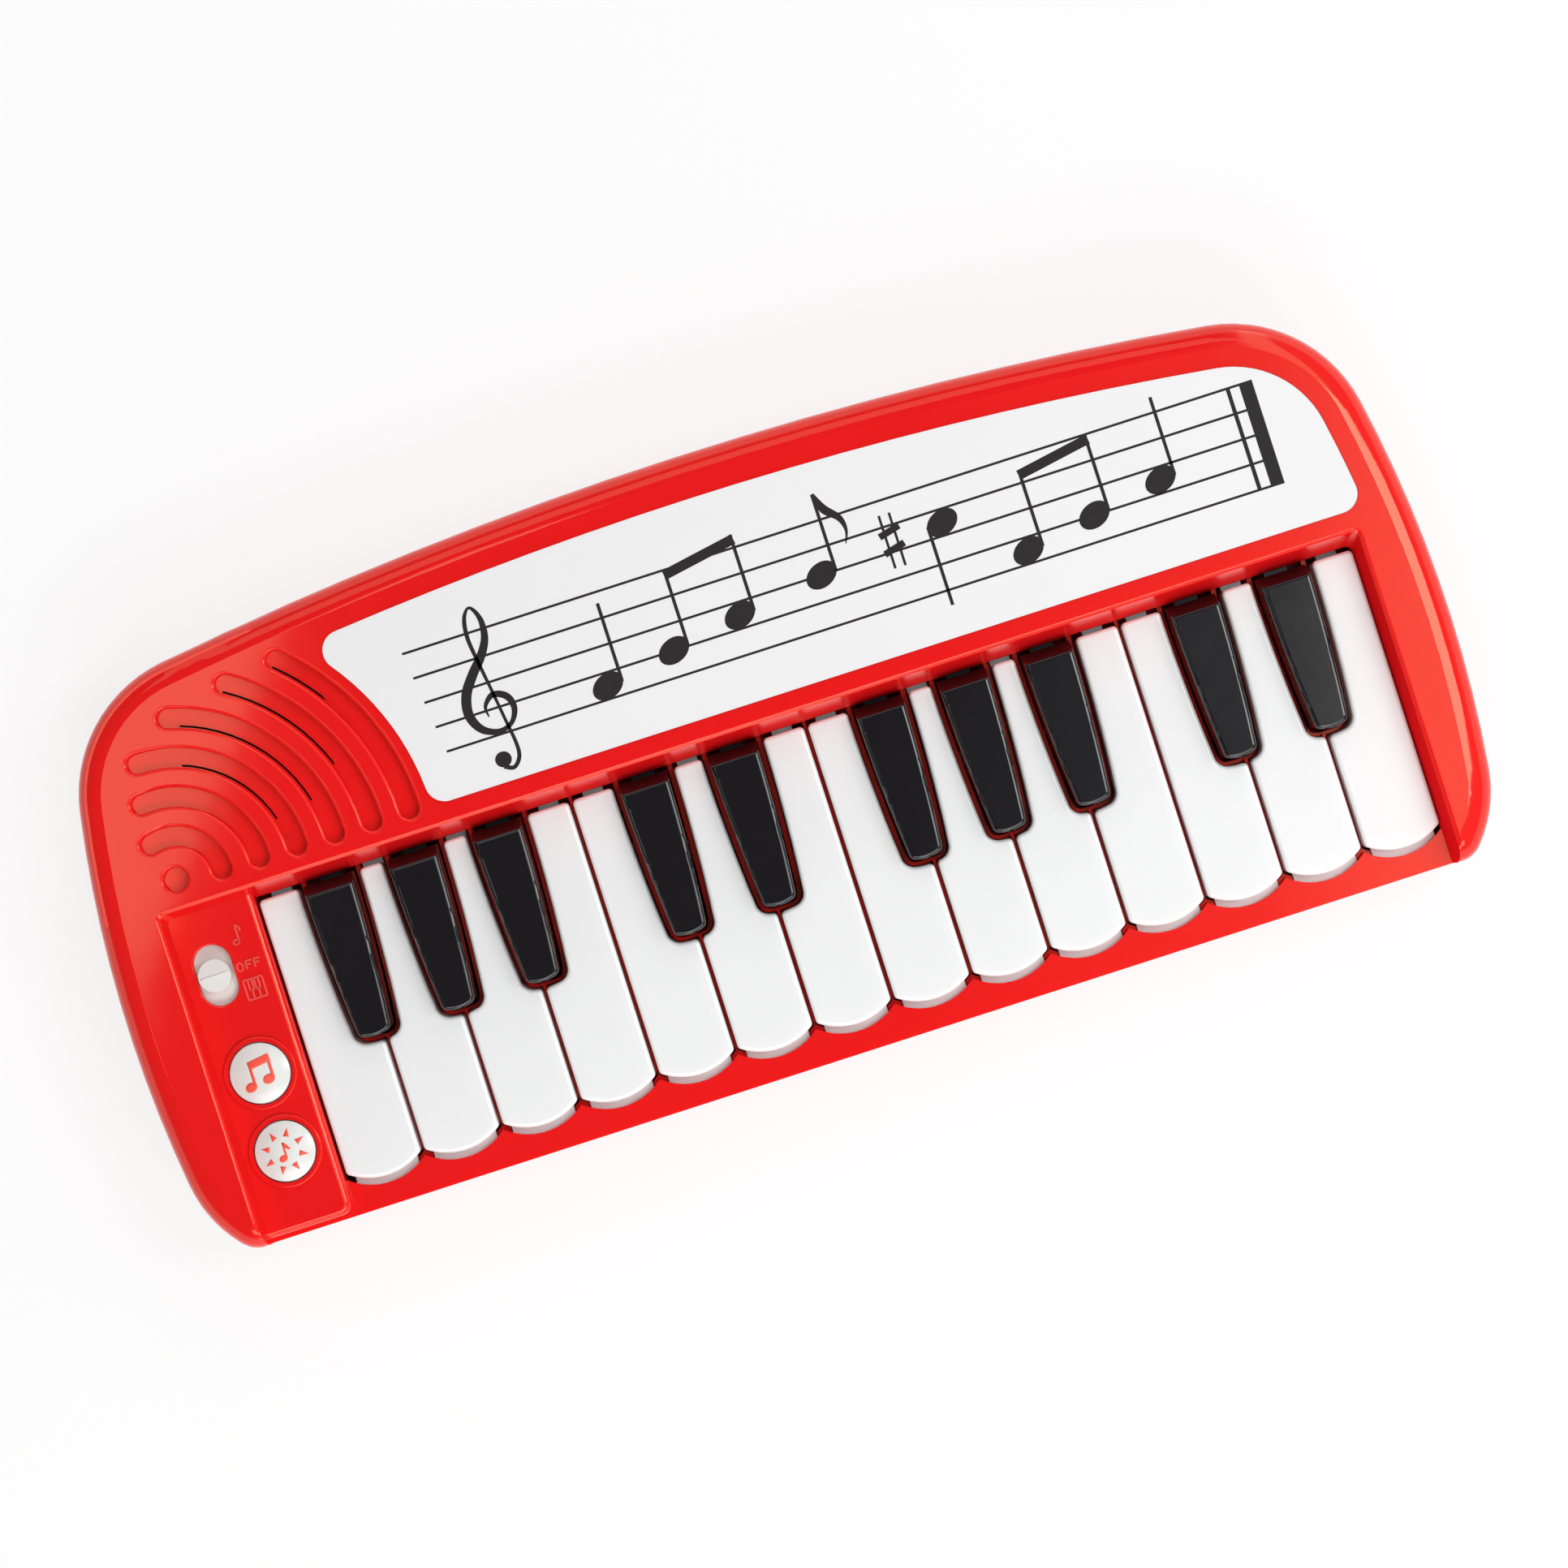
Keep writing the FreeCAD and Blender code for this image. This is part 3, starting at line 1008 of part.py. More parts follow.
# Wires
def held_wire(points, radius, bend):
    """A wire along straight runs joined by arcs of one radius."""
    corners = [Vector(*p) for p in points]
    edges = []
    start = corners[0]
    for a, b, c in zip(corners, corners[1:], corners[2:]):
        back = (a - b).normalize()
        ahead = (c - b).normalize()
        half_turn = back.getAngle(ahead) / 2
        run = bend / math.tan(half_turn)
        p = b + back * run
        q = b + ahead * run
        inward = (back + ahead).normalize()
        middle = b + inward * (bend / math.sin(half_turn) - bend)
        edges += [Part.LineSegment(start, p).toShape(), Part.Arc(p, middle, q).toShape()]
        start = q
    edges.append(Part.LineSegment(start, corners[-1]).toShape())
    path = Part.Wire(edges)
    circle = Part.Circle(corners[0], (corners[1] - corners[0]).normalize(), radius).toShape()
    return path.makePipeShell([Part.Wire(circle)], True, False)


def ribbon():
    """The flat lead from the key board up to the control board."""
    x0 = joint_x(0) + 2 * KEY_WALL
    x1 = DECK_RIGHT - WELL_WALL - 3 * POST_RADIUS
    z0 = Z_BOARD
    z1 = Z_CONTROL - BOARD_THICKNESS
    t = RIBBON_THICKNESS
    points = [(x0, z0), (x0, z0 + t), (x1 + t, z0 + t), (x1 + t, z1), (x1, z1), (x1, z0)]
    loop = closed_loop([(x, Y_DOMES - RIBBON_WIDTH / 2, z) for x, z in points])
    return Part.Face(Part.Wire(loop)).extrude(Vector(0, RIBBON_WIDTH, 0))


# Feet, key board and wire routes
FEET = [(side * (CASE_HALF - FOOT_FROM_SIDE), y)
        for side in (-1, 1) for y in (Y_FRONT + FOOT_FROM_FRONT, Y_BACK - FOOT_FROM_BACK)]
KEY_CENTRES = sorted([sum(white_rear(k)) / 2 for k in range(WHITE_KEYS)] + BLACK_X)
KEY_DOMES = [(x, Y_DOMES) for x in KEY_CENTRES]
HALF_KEYS = len(KEY_DOMES) // 2
Z_WIRES = Z_INSIDE + WIRE_BEND
X_WIRES = DECK_LEFT + WIRES_FROM_DECK
Y_WIRES = Y_WALL_FOOT - WIRES_FROM_WALL
Z_WIRE_END = Z_CONTROL - BOARD_THICKNESS
BATTERY_ROUTES = [
    [(BAY_LEFT - BAY_WALL, BAY_FRONT + step, Z_WIRES), (X_WIRES - step, BAY_FRONT + step, Z_WIRES),
     (X_WIRES - step, Y_WIRES, Z_WIRES), (X_WIRES - step, Y_WIRES, Z_WIRE_END)]
    for step in (WIRE_SPREAD, 2 * WIRE_SPREAD)]
Z_SPEAKER_BACK = Z_GRILLE_UNDER - SPEAKER_DEPTH + MAGNET_HEIGHT
X_TERMINAL = SPEAKER_X - MAGNET_RADIUS - SPEAKER_RIM
Y_SPEAKER_WIRES = Y_WIRES - 2 * SPEAKER_WIRE_BEND
SPEAKER_ROUTES = [
    [(X_TERMINAL, SPEAKER_Y + step, Z_SPEAKER_BACK),
     (X_TERMINAL, SPEAKER_Y + step, Z_SEAM),
     (X_TERMINAL - SPEAKER_WIRE_OUT - step, SPEAKER_Y + step, Z_SEAM),
     (X_TERMINAL - SPEAKER_WIRE_OUT - step, Y_SPEAKER_WIRES, Z_SEAM),
     (X_TERMINAL - SPEAKER_WIRE_OUT - step, Y_SPEAKER_WIRES, Z_WIRE_END)]
    for step in (0, SPEAKER_WIRE_SPREAD)]


def foot(x, y):
    body = post(x, y, 0, FOOT_HEIGHT, FOOT_RADIUS)
    return body.makeFillet(FOOT_EDGE_RADIUS, top_edges(body, 0))


def key_board():
    """The long board under the keys that the domes touch down on."""
    body = block(joint_x(0) + 2 * KEY_WALL, joint_x(WHITE_KEYS) - 2 * KEY_WALL, Y_DOMES - BOARD_HALF,
                 Y_DOMES + BOARD_HALF, Z_BOARD, Z_BOARD + BOARD_THICKNESS)
    return body.cut([post(x, y, Z_FLOOR, Z_LEDGE, SCREW_RADIUS + SCREW_CLEARANCE) for x, y in BOARD_SCREWS])


def sound_chip():
    """The resin blob over the sound chip, under the control board."""
    x, y = BUTTON_PLACES["melody_button"]
    ball = (CHIP_RADIUS ** 2 + CHIP_HEIGHT ** 2) / (2 * CHIP_HEIGHT)
    z_low = Z_WIRE_END - CHIP_HEIGHT
    body = post(x, y, z_low, Z_WIRE_END, CHIP_RADIUS)
    return body.common(Part.makeSphere(ball, Vector(x, y, z_low + ball))).Solids[0]


os.makedirs("parts", exist_ok=True)
for k in range(WHITE_KEYS):
    export("white_key_%02d" % (k + 1), white_key(k))
for i, x in enumerate(BLACK_X):
    export("black_key_%02d" % (i + 1), black_key(x))
export("upper_case", upper_case())
export("lower_case", lower_case())
export("panel_label", label_prism(LABEL_PLAY, Z_HOOD - LABEL_RECESS, Z_HOOD - LABEL_RECESS + LABEL_THICKNESS))
export("rubber_feet", *[foot(x, y) for x, y in FEET])
export("case_screws", *[screw(x, y, Z_FLOOR + CASE_SCREW_CUP, BOTTOM_OF_BOSS - Z_FLOOR - CASE_SCREW_CUP
                              + CASE_SCREW_BITE, SCREW_HEAD_RADIUS, SCREW_HEAD, True)
                        for x, y in CASE_SCREWS])
export("key_pivot_rod", cross_rod(joint_x(0) - RIB_THICKNESS, joint_x(WHITE_KEYS) + RIB_THICKNESS,
                                  Y_ROD, Z_ROD, ROD_RADIUS))
export("battery_door", battery_door())
export("battery_door_screw", screw(*DOOR_SCREW, Z_FLOOR + DOOR_THICKNESS / 2,
                                   Z_INSIDE - Z_FLOOR - DOOR_THICKNESS / 2 + DOOR_SCREW_BITE,
                                   SCREW_HEAD_RADIUS, DOOR_THICKNESS / 2, True))
export("battery_cells", *[cell(i) for i in range(CELL_COUNT)])
export("battery_leaf_contacts", *[leaf_contact(i) for i in range(CELL_COUNT)])
export("battery_plate_contacts", *[button_contact(i) for i in range(CELL_COUNT)])
export("battery_wires", *[held_wire(route, WIRE_RADIUS, WIRE_BEND) for route in BATTERY_ROUTES])
export("key_board", key_board())
export("key_board_screws", *[screw(x, y, Z_BOARD + BOARD_THICKNESS, BOARD_THICKNESS + BOARD_SCREW_BITE,
                                   SCREW_HEAD_RADIUS, SCREW_HEAD, False) for x, y in BOARD_SCREWS])
export("key_domes_bass", dome_strip(KEY_DOMES[:HALF_KEYS], DOME_SHEET_HALF, Z_DOME_SHEET, DOME_HEIGHT))
export("key_domes_treble", dome_strip(KEY_DOMES[HALF_KEYS:], DOME_SHEET_HALF, Z_DOME_SHEET, DOME_HEIGHT))
export("control_board", control_board())
export("control_board_screws", *[screw(x, y, Z_CONTROL - BOARD_THICKNESS, BOARD_THICKNESS + BOARD_SCREW_BITE,
                                       SCREW_HEAD_RADIUS, SCREW_HEAD, True) for x, y in CONTROL_POSTS])
export("board_ribbon", ribbon())
export("sound_chip", sound_chip())
export("switch_body", switch_body())
export("switch_knob", switch_knob())
for name in BUTTON_PLACES:
    export(name, button(name))
export("button_domes", dome_strip(list(BUTTON_PLACES.values()), BUTTON_SHEET_HALF, Z_CONTROL,
                                  BUTTON_DOME_HEIGHT))
export("speaker_frame", speaker_frame())
export("speaker_cone", speaker_cone())
export("speaker_magnet", post(SPEAKER_X, SPEAKER_Y, Z_GRILLE_UNDER - SPEAKER_DEPTH,
                              Z_GRILLE_UNDER - SPEAKER_DEPTH + MAGNET_HEIGHT, MAGNET_RADIUS))
export("speaker_screws", *[screw(x, y, Z_GRILLE_UNDER - SPEAKER_RIM, SPEAKER_SCREW_BITE, SPEAKER_HEAD_RADIUS,
                                 SCREW_HEAD, True) for x, y, _ in SPEAKER_SCREW_PLACES])
export("speaker_wires", *[held_wire(route, WIRE_RADIUS, SPEAKER_WIRE_BEND) for route in SPEAKER_ROUTES])
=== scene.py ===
"""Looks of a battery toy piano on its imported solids: a red moulded case with two octaves of keys."""
import math

import bmesh
import bpy
from mathutils import Matrix, Vector


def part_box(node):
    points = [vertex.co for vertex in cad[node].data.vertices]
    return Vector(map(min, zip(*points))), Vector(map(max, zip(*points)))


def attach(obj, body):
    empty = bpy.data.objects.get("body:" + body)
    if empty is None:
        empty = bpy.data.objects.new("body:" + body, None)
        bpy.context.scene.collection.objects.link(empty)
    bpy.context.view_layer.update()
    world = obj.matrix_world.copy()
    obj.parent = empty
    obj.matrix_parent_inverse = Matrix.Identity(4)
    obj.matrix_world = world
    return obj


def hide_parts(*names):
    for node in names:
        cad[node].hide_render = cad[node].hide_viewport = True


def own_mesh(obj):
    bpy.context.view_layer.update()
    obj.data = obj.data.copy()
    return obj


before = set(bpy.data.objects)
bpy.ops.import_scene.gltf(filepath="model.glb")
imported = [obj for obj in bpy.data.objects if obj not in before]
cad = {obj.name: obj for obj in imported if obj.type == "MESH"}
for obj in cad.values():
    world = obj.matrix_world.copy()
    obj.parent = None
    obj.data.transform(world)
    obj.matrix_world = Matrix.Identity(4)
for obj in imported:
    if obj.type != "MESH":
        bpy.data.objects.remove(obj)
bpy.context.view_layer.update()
MM = 0.001

# Lower case and battery door
# The tray that carries everything is one ABS moulding with a fine spark-eroded grain outside, which hides
# scuffs. The door of the same plastic hooks in at the back of the battery bay and is screwed at the front.


def srgb(code):
    """An sRGB hex value as linear RGBA."""
    channels = [int(code[i:i + 2], 16) / 255 for i in (1, 3, 5)]
    return [c / 12.92 if c <= 0.04045 else ((c + 0.055) / 1.055) ** 2.4 for c in channels] + [1.0]


def add_node(material, kind, links=None, **settings):
    """Add one node to a material: settings are its own, links are values or sockets for its inputs."""
    tree = material.node_tree
    node = tree.nodes.new(kind)
    for name, value in settings.items():
        setattr(node, name, value)
    for name, value in (links or {}).items():
        if isinstance(value, bpy.types.NodeSocket):
            tree.links.new(value, node.inputs[name])
        else:
            node.inputs[name].default_value = value
    return node


DRIFT_DETAIL = 4.0
WEAR_FINER = 4
WEAR_DETAIL = 6.0
WEAR_ROUGHNESS = 0.65
WEAR_LOW = 0.3
WEAR_HIGH = 0.7
RELIEF_DETAIL = 2.0


def grained(name, tones, patch_mm, rough, grain_mm, grain_deep_mm, stretch=(1, 1, 1), **sockets):
    """A finish with a slow drift of tone, a finer drift of roughness, and a fine relief."""
    material = bpy.data.materials.new(name)
    material.use_nodes = True
    tree = material.node_tree
    shader = tree.nodes["Principled BSDF"]
    position = add_node(material, "ShaderNodeTexCoord").outputs["Object"]
    place = add_node(material, "ShaderNodeMapping", {"Vector": position, "Scale": stretch}).outputs["Vector"]
    drift = add_node(material, "ShaderNodeTexNoise",
                     {"Vector": place, "Scale": 1 / (patch_mm * MM), "Detail": DRIFT_DETAIL})
    tone = add_node(material, "ShaderNodeMix",
                    {0: drift.outputs["Fac"], 6: srgb(tones[0]), 7: srgb(tones[1])}, data_type="RGBA")
    wear = add_node(material, "ShaderNodeTexNoise",
                    {"Vector": place, "Scale": WEAR_FINER / (patch_mm * MM), "Detail": WEAR_DETAIL,
                     "Roughness": WEAR_ROUGHNESS})
    spread = add_node(material, "ShaderNodeMapRange",
                      {"Value": wear.outputs["Fac"], "From Min": WEAR_LOW, "From Max": WEAR_HIGH,
                       "To Min": rough[0], "To Max": rough[1]})
    relief = add_node(material, "ShaderNodeTexNoise",
                      {"Vector": place, "Scale": 1 / (grain_mm * MM), "Detail": RELIEF_DETAIL})
    bump = add_node(material, "ShaderNodeBump",
                    {"Strength": 1.0, "Distance": grain_deep_mm * MM, "Height": relief.outputs["Fac"]})
    tree.links.new(tone.outputs[2], shader.inputs["Base Color"])
    tree.links.new(spread.outputs["Result"], shader.inputs["Roughness"])
    tree.links.new(bump.outputs["Normal"], shader.inputs["Normal"])
    for socket, value in sockets.items():
        shader.inputs[socket.replace("_", " ")].default_value = value
    return material


def dress(material, *names):
    """Give carried-over solids their finish."""
    for name in names:
        mesh = cad[name].data
        mesh.materials.clear()
        mesh.materials.append(material)


# Spark-eroded ABS: a satin red that spreads highlights. The real grain is about 0.1 mm, drawn at 0.5 mm so
# that it shows.
red_spark_abs = grained("red_abs_spark_eroded", ("#DE181B", "#E61C1D"), 40.0, (0.38, 0.5), 0.5, 0.02,
                        IOR=1.53)
dress(red_spark_abs, "lower_case", "battery_door")

# Screws
# Self-tapping pan heads with a cross recess hold the case, the boards, the speaker and the battery door.
# Each is a headed and rolled steel piece with a zinc plate, and it stands where the solid screw stands.

# Zinc plate: a cool bright metal with small cloudy patches.
zinc_plate = grained("zinc_plated_steel", ("#A9ABAE", "#C4C6C8"), 2.0, (0.24, 0.42), 0.4, 0.004,
                     Metallic=1.0)
SAME_PLACE = 1e-6


def mesh_piece(name, shape, material, body, smooth=True):
    """Turn a finished bmesh into a piece with one finish that moves with a body."""
    bmesh.ops.recalc_face_normals(shape, faces=shape.faces)
    mesh = bpy.data.meshes.new(name)
    shape.to_mesh(mesh)
    shape.free()
    mesh.materials.append(material)
    for face in mesh.polygons:
        face.use_smooth = smooth
    piece = bpy.data.objects.new(name, mesh)
    bpy.context.scene.collection.objects.link(piece)
    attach(piece, body)
    return piece


def separate_boxes(name):
    """The lowest and highest corner of each separate solid in a node, with its vertices."""
    shape = bmesh.new()
    shape.from_mesh(cad[name].data)
    bmesh.ops.remove_doubles(shape, verts=shape.verts, dist=SAME_PLACE)
    found = []
    left = dict.fromkeys(shape.verts)
    while left:
        group = []
        edge = [left.popitem()[0]]
        while edge:
            vert = edge.pop()
            group.append(vert.co.copy())
            for link in vert.link_edges:
                other = link.other_vert(vert)
                if other in left:
                    del left[other]
                    edge.append(other)
        low = Vector([min(p[i] for p in group) for i in range(3)])
        high = Vector([max(p[i] for p in group) for i in range(3)])
        found.append((low, high, group))
    shape.free()
    return found


RING_SIDES = 24
THREAD_PITCH = 1.0 * MM
THREAD_DEPTH = 0.22 * MM
LEAST_TURNS = 2
# Shares of the head's radius or height. Points of a plain screw beyond HEAD_FROM are its head's, and those
# within AXIS_TO lie on its axis. The profile goes from the outer face inwards, as radius and depth.
HEAD_FROM = 0.9
AXIS_TO = 0.2
HEAD_PROFILE = [(0.8, 0.0), (0.95, 0.2), (1.0, 0.5)]
RECESS_WIDTH = 0.34
RECESS_LENGTH = 0.66
RECESS_DEPTH = 0.55
RECESS_TAPER = 0.7


def ring_at(shape, axis, radius, z):
    """A level ring of vertices about an upright line."""
    turns = [2 * math.pi * i / RING_SIDES for i in range(RING_SIDES)]
    return [shape.verts.new((axis.x + radius * math.cos(a), axis.y + radius * math.sin(a), z))
            for a in turns]


def join_rings(shape, low, high):
    """Faces between two rings with as many vertices."""
    for i in range(len(low)):
        j = (i + 1) % len(low)
        shape.faces.new((low[i], low[j], high[j], high[i]))


def cross_loop(shape, axis, radius, z, size):
    """The outline of a cross recess, as a loop of vertices."""
    wide = radius * RECESS_WIDTH * size / 2
    long = radius * RECESS_LENGTH * size
    plan = [(long, -wide), (long, wide), (wide, wide), (wide, long), (-wide, long), (-wide, wide),
            (-long, wide), (-long, -wide), (-wide, -wide), (-wide, -long), (wide, -long), (wide, -wide)]
    return [shape.verts.new((axis.x + x, axis.y + y, z)) for x, y in plan]


def cross_screw(shape, low, high, points):
    """One screw in the space of a plain one: recessed and rounded head, threaded shank, blunt end."""
    axis = (low + high) / 2
    head_radius = (high.x - low.x) / 2
    reach = [(math.hypot(p.x - axis.x, p.y - axis.y), p.z) for p in points]
    head_heights = [z for r, z in reach if r > HEAD_FROM * head_radius]
    shank = min(r for r, z in reach if r > AXIS_TO * head_radius)
    root = shank - THREAD_DEPTH
    head_low, head_high = min(head_heights), max(head_heights)
    at_bottom = abs(head_low - low.z) < abs(head_high - high.z)
    out = -1 if at_bottom else 1
    face = head_low if at_bottom else head_high
    seat = head_high if at_bottom else head_low
    tip = high.z if at_bottom else low.z
    head = abs(face - seat)
    rings = [ring_at(shape, axis, head_radius * share, face - out * head * depth)
             for share, depth in HEAD_PROFILE]
    edge = rings[0]
    rings += [ring_at(shape, axis, head_radius, seat), ring_at(shape, axis, root, seat)]
    length = abs(tip - seat)
    turns = max(LEAST_TURNS, int(length / THREAD_PITCH))
    for i in range(turns):
        rings.append(ring_at(shape, axis, shank, seat - out * length * (i + 0.5) / turns))
        rings.append(ring_at(shape, axis, root, seat - out * length * (i + 1) / turns))
    for a, b in zip(rings, rings[1:]):
        join_rings(shape, a, b)
    shape.faces.new(rings[-1])
    mouth = cross_loop(shape, axis, head_radius, face, 1.0)
    floor = cross_loop(shape, axis, head_radius, face - out * head * RECESS_DEPTH, RECESS_TAPER)
    join_rings(shape, mouth, floor)
    shape.faces.new(floor)
    border = []
    for loop in (edge, mouth):
        for ends in zip(loop, loop[1:] + loop[:1]):
            border.append(shape.edges.get(ends) or shape.edges.new(ends))
    bmesh.ops.triangle_fill(shape, edges=border, use_beauty=True)


SCREW_BODIES = {"case_screws": "case", "key_board_screws": "case", "control_board_screws": "case",
                "speaker_screws": "case", "battery_door_screw": "battery_door"}
for node, body in SCREW_BODIES.items():
    shape = bmesh.new()
    for low, high, points in separate_boxes(node):
        cross_screw(shape, low, high, points)
    piece = mesh_piece(node + "_cross_head", shape, zinc_plate, body, smooth=False)
    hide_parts(node)

# Pivot rod
# One drawn steel rod runs through the eyes of all the keys and lies in ribs of the case.

# Drawn steel: bright, with faint marks along the rod.
drawn_steel = grained("drawn_steel", ("#8F9092", "#A6A7A9"), 6.0, (0.22, 0.34), 0.6, 0.004,
                      stretch=(0.1, 1, 1), Metallic=1.0)
dress(drawn_steel, "key_pivot_rod")

# Contact boards, chip and leads
# Two boards of paper phenolic lie under the keys and under the deck. A resin blob covers the chip on the
# smaller one, and soft leads join the boards, the speaker and the cells.

# Paper phenolic: warm brown with fibres that run along the sheet.
paper_phenolic = grained("paper_phenolic_board", ("#7A4A22", "#96622F"), 3.0, (0.45, 0.6), 0.5, 0.01,
                         stretch=(0.15, 1, 1), IOR=1.55)
dress(paper_phenolic, "key_board", "control_board")
# Epoxy: a black blob that flowed before it set, so it is smooth and shiny.
black_epoxy = grained("black_epoxy", ("#0D0D0E", "#151516"), 3.0, (0.15, 0.28), 1.2, 0.02, IOR=1.55)
dress(black_epoxy, "sound_chip")
# Nylon: a dull black moulding.
black_nylon = grained("black_nylon", ("#17171A", "#202024"), 4.0, (0.4, 0.55), 0.4, 0.01, IOR=1.53)
dress(black_nylon, "switch_body")
# Soft PVC: a coloured skin with a slight wax-like shine.
soft_pvc = grained("soft_pvc_insulation", ("#8E1B1E", "#9E2023"), 5.0, (0.38, 0.5), 0.8, 0.01, IOR=1.54)
dress(soft_pvc, "battery_wires", "speaker_wires")
grey_pvc = grained("grey_pvc_ribbon", ("#8C8D8F", "#9C9DA0"), 4.0, (0.45, 0.6), 0.6, 0.01, IOR=1.54)
dress(grey_pvc, "board_ribbon")

# Speaker
# A pressed steel basket under the grille, with a paper cone and a ferrite ring magnet behind it.

# Black lacquer on pressed steel: an even dark shine.
black_lacquer = grained("black_lacquer_on_steel", ("#161617", "#1E1E20"), 10.0, (0.3, 0.42), 1.0, 0.006,
                        IOR=1.5)
dress(black_lacquer, "speaker_frame")
# Pressed paper: dark grey and matt, with short fibres.
pressed_paper = grained("pressed_paper", ("#232220", "#2E2D2A"), 1.5, (0.8, 0.92), 0.5, 0.06)
dress(pressed_paper, "speaker_cone")
# Sintered ferrite: grey-black with a gritty break.
sintered_ferrite = grained("sintered_ferrite", ("#29292B", "#353437"), 2.0, (0.55, 0.7), 0.5, 0.04)
dress(sintered_ferrite, "speaker_magnet")

# Cells and contacts
# Three penlight cells in plain sleeves, between stamped plates and folded leaf springs.

# Shrunk sleeve: a smooth dark blue-grey film over the steel can.
shrunk_sleeve = grained("shrunk_pvc_sleeve", ("#2C3640", "#354250"), 12.0, (0.22, 0.34), 1.5, 0.006,
                        IOR=1.54)
dress(shrunk_sleeve, "battery_cells")
# Nickel plate: a warm bright metal with rolling marks.
nickel_plate = grained("nickel_plated_spring_steel", ("#B7B2A6", "#CBC7BC"), 3.0, (0.2, 0.36), 0.5, 0.004,
                       stretch=(1, 1, 0.15), Metallic=1.0)
dress(nickel_plate, "battery_leaf_contacts", "battery_plate_contacts")

# White keys
# Fourteen hollow ABS mouldings, cut away beside the black keys, with a front tongue under the ledge.

# White gloss ABS: clean and neutral, with a polished mould surface that ripples reflections a little. Light
# enters the plastic a little way and comes out again beside its edges.
ABS_LIGHT_SHARE = 0.4
ABS_LIGHT_DEPTH = 3.0 * MM
white_gloss_abs = grained("white_abs_polished", ("#EDEDED", "#F0F0F0"), 30.0, (0.1, 0.16), 9.0, 0.008,
                          IOR=1.53, Subsurface_Weight=ABS_LIGHT_SHARE,
                          Subsurface_Radius=(1.0, 0.93, 0.9), Subsurface_Scale=ABS_LIGHT_DEPTH)
white_keys = sorted(name for name in cad if name.startswith("white_key"))
dress(white_gloss_abs, *white_keys)

# Black keys
# Ten raised mouldings of black ABS from a polished mould, narrow at the nose and raked at the back.

# Black gloss ABS: deep black that mirrors the room, with faint marks from handling.
black_gloss_abs = grained("black_abs_polished", ("#121013", "#161417"), 20.0, (0.05, 0.1), 9.0, 0.008,
                          IOR=1.53)
black_keys = sorted(name for name in cad if name.startswith("black_key"))
dress(black_gloss_abs, *black_keys)

# Upper case
# The red top moulding is ABS from a polished mould: hood, cheeks, key well, control deck and speaker grille
# in one skin. Small raised lines beside the switch were cut into the mould.

# Red gloss ABS: a saturated red under a warm clear shine, with the faint ripple of a moulded skin. Red light
# enters it a little way, the rest is stopped at the skin.
RED_SHEEN = (1.0, 0.85, 0.55, 1.0)
red_gloss_abs = grained("red_abs_polished", ("#E71418", "#EB181B"), 45.0, (0.05, 0.09), 12.0, 0.01,
                        IOR=1.53, Specular_Tint=RED_SHEEN, Subsurface_Weight=ABS_LIGHT_SHARE,
                        Subsurface_Radius=(1.0, 0.1, 0.08), Subsurface_Scale=ABS_LIGHT_DEPTH)
dress(red_gloss_abs, "upper_case")

# The well's treble wall has the dull skin of its mould slide, so it does not mirror the keys.
DULL_FROM_X = 150.0 * MM
DULL_FACING = 0.8
DULL_SHINE = 0.0
FULL_SHINE = 0.5
normal = add_node(red_gloss_abs, "ShaderNodeNewGeometry").outputs["Normal"]
facing = add_node(red_gloss_abs, "ShaderNodeVectorMath", {0: normal, 1: (-1.0, 0.0, 0.0)},
                  operation="DOT_PRODUCT").outputs["Value"]
steep = add_node(red_gloss_abs, "ShaderNodeMath", {0: facing, 1: DULL_FACING},
                 operation="GREATER_THAN").outputs[0]
position = add_node(red_gloss_abs, "ShaderNodeTexCoord").outputs["Object"]
along = add_node(red_gloss_abs, "ShaderNodeSeparateXYZ", {"Vector": position}).outputs["X"]
treble = add_node(red_gloss_abs, "ShaderNodeMath", {0: along, 1: DULL_FROM_X},
                  operation="GREATER_THAN").outputs[0]
dull_wall = add_node(red_gloss_abs, "ShaderNodeMath", {0: steep, 1: treble},
                     operation="MULTIPLY").outputs[0]
shine = add_node(red_gloss_abs, "ShaderNodeMapRange",
                 {"Value": dull_wall, "To Min": FULL_SHINE, "To Max": DULL_SHINE})
red_shader = red_gloss_abs.node_tree.nodes["Principled BSDF"]
red_gloss_abs.node_tree.links.new(shine.outputs["Result"], red_shader.inputs["Specular IOR Level"])

WELD_WITHIN = 2e-6
SLIVER_WITHIN = 1e-7


def smooth_line(points, steps):
    """A smooth run through (x, y, half width) points, with some steps between each two."""
    ends = [points[0]] + points + [points[-1]]
    run = []
    for a, b, c, d in zip(ends, ends[1:], ends[2:], ends[3:]):
        for i in range(steps):
            t = i / steps
            run.append(tuple(0.5 * (2 * q + (r - p) * t + (2 * p - 5 * q + 4 * r - s) * t * t
                                    + (3 * q - p - 3 * r + s) * t ** 3) for p, q, r, s in zip(a, b, c, d)))
    run.append(points[-1])
    return run


def stroke(points, columns=1):
    """Rows of places across a line of (x, y, half width), like a pen stroke that swells and thins."""
    rows = []
    for i, (x, y, half) in enumerate(points):
        back = points[max(i - 1, 0)]
        ahead = points[min(i + 1, len(points) - 1)]
        run = Vector((ahead[0] - back[0], ahead[1] - back[1])).normalized()
        offsets = [half * (2 * c / columns - 1) for c in range(columns + 1)]
        rows.append([(x - run.y * o, y + run.x * o) for o in offsets])
    return rows


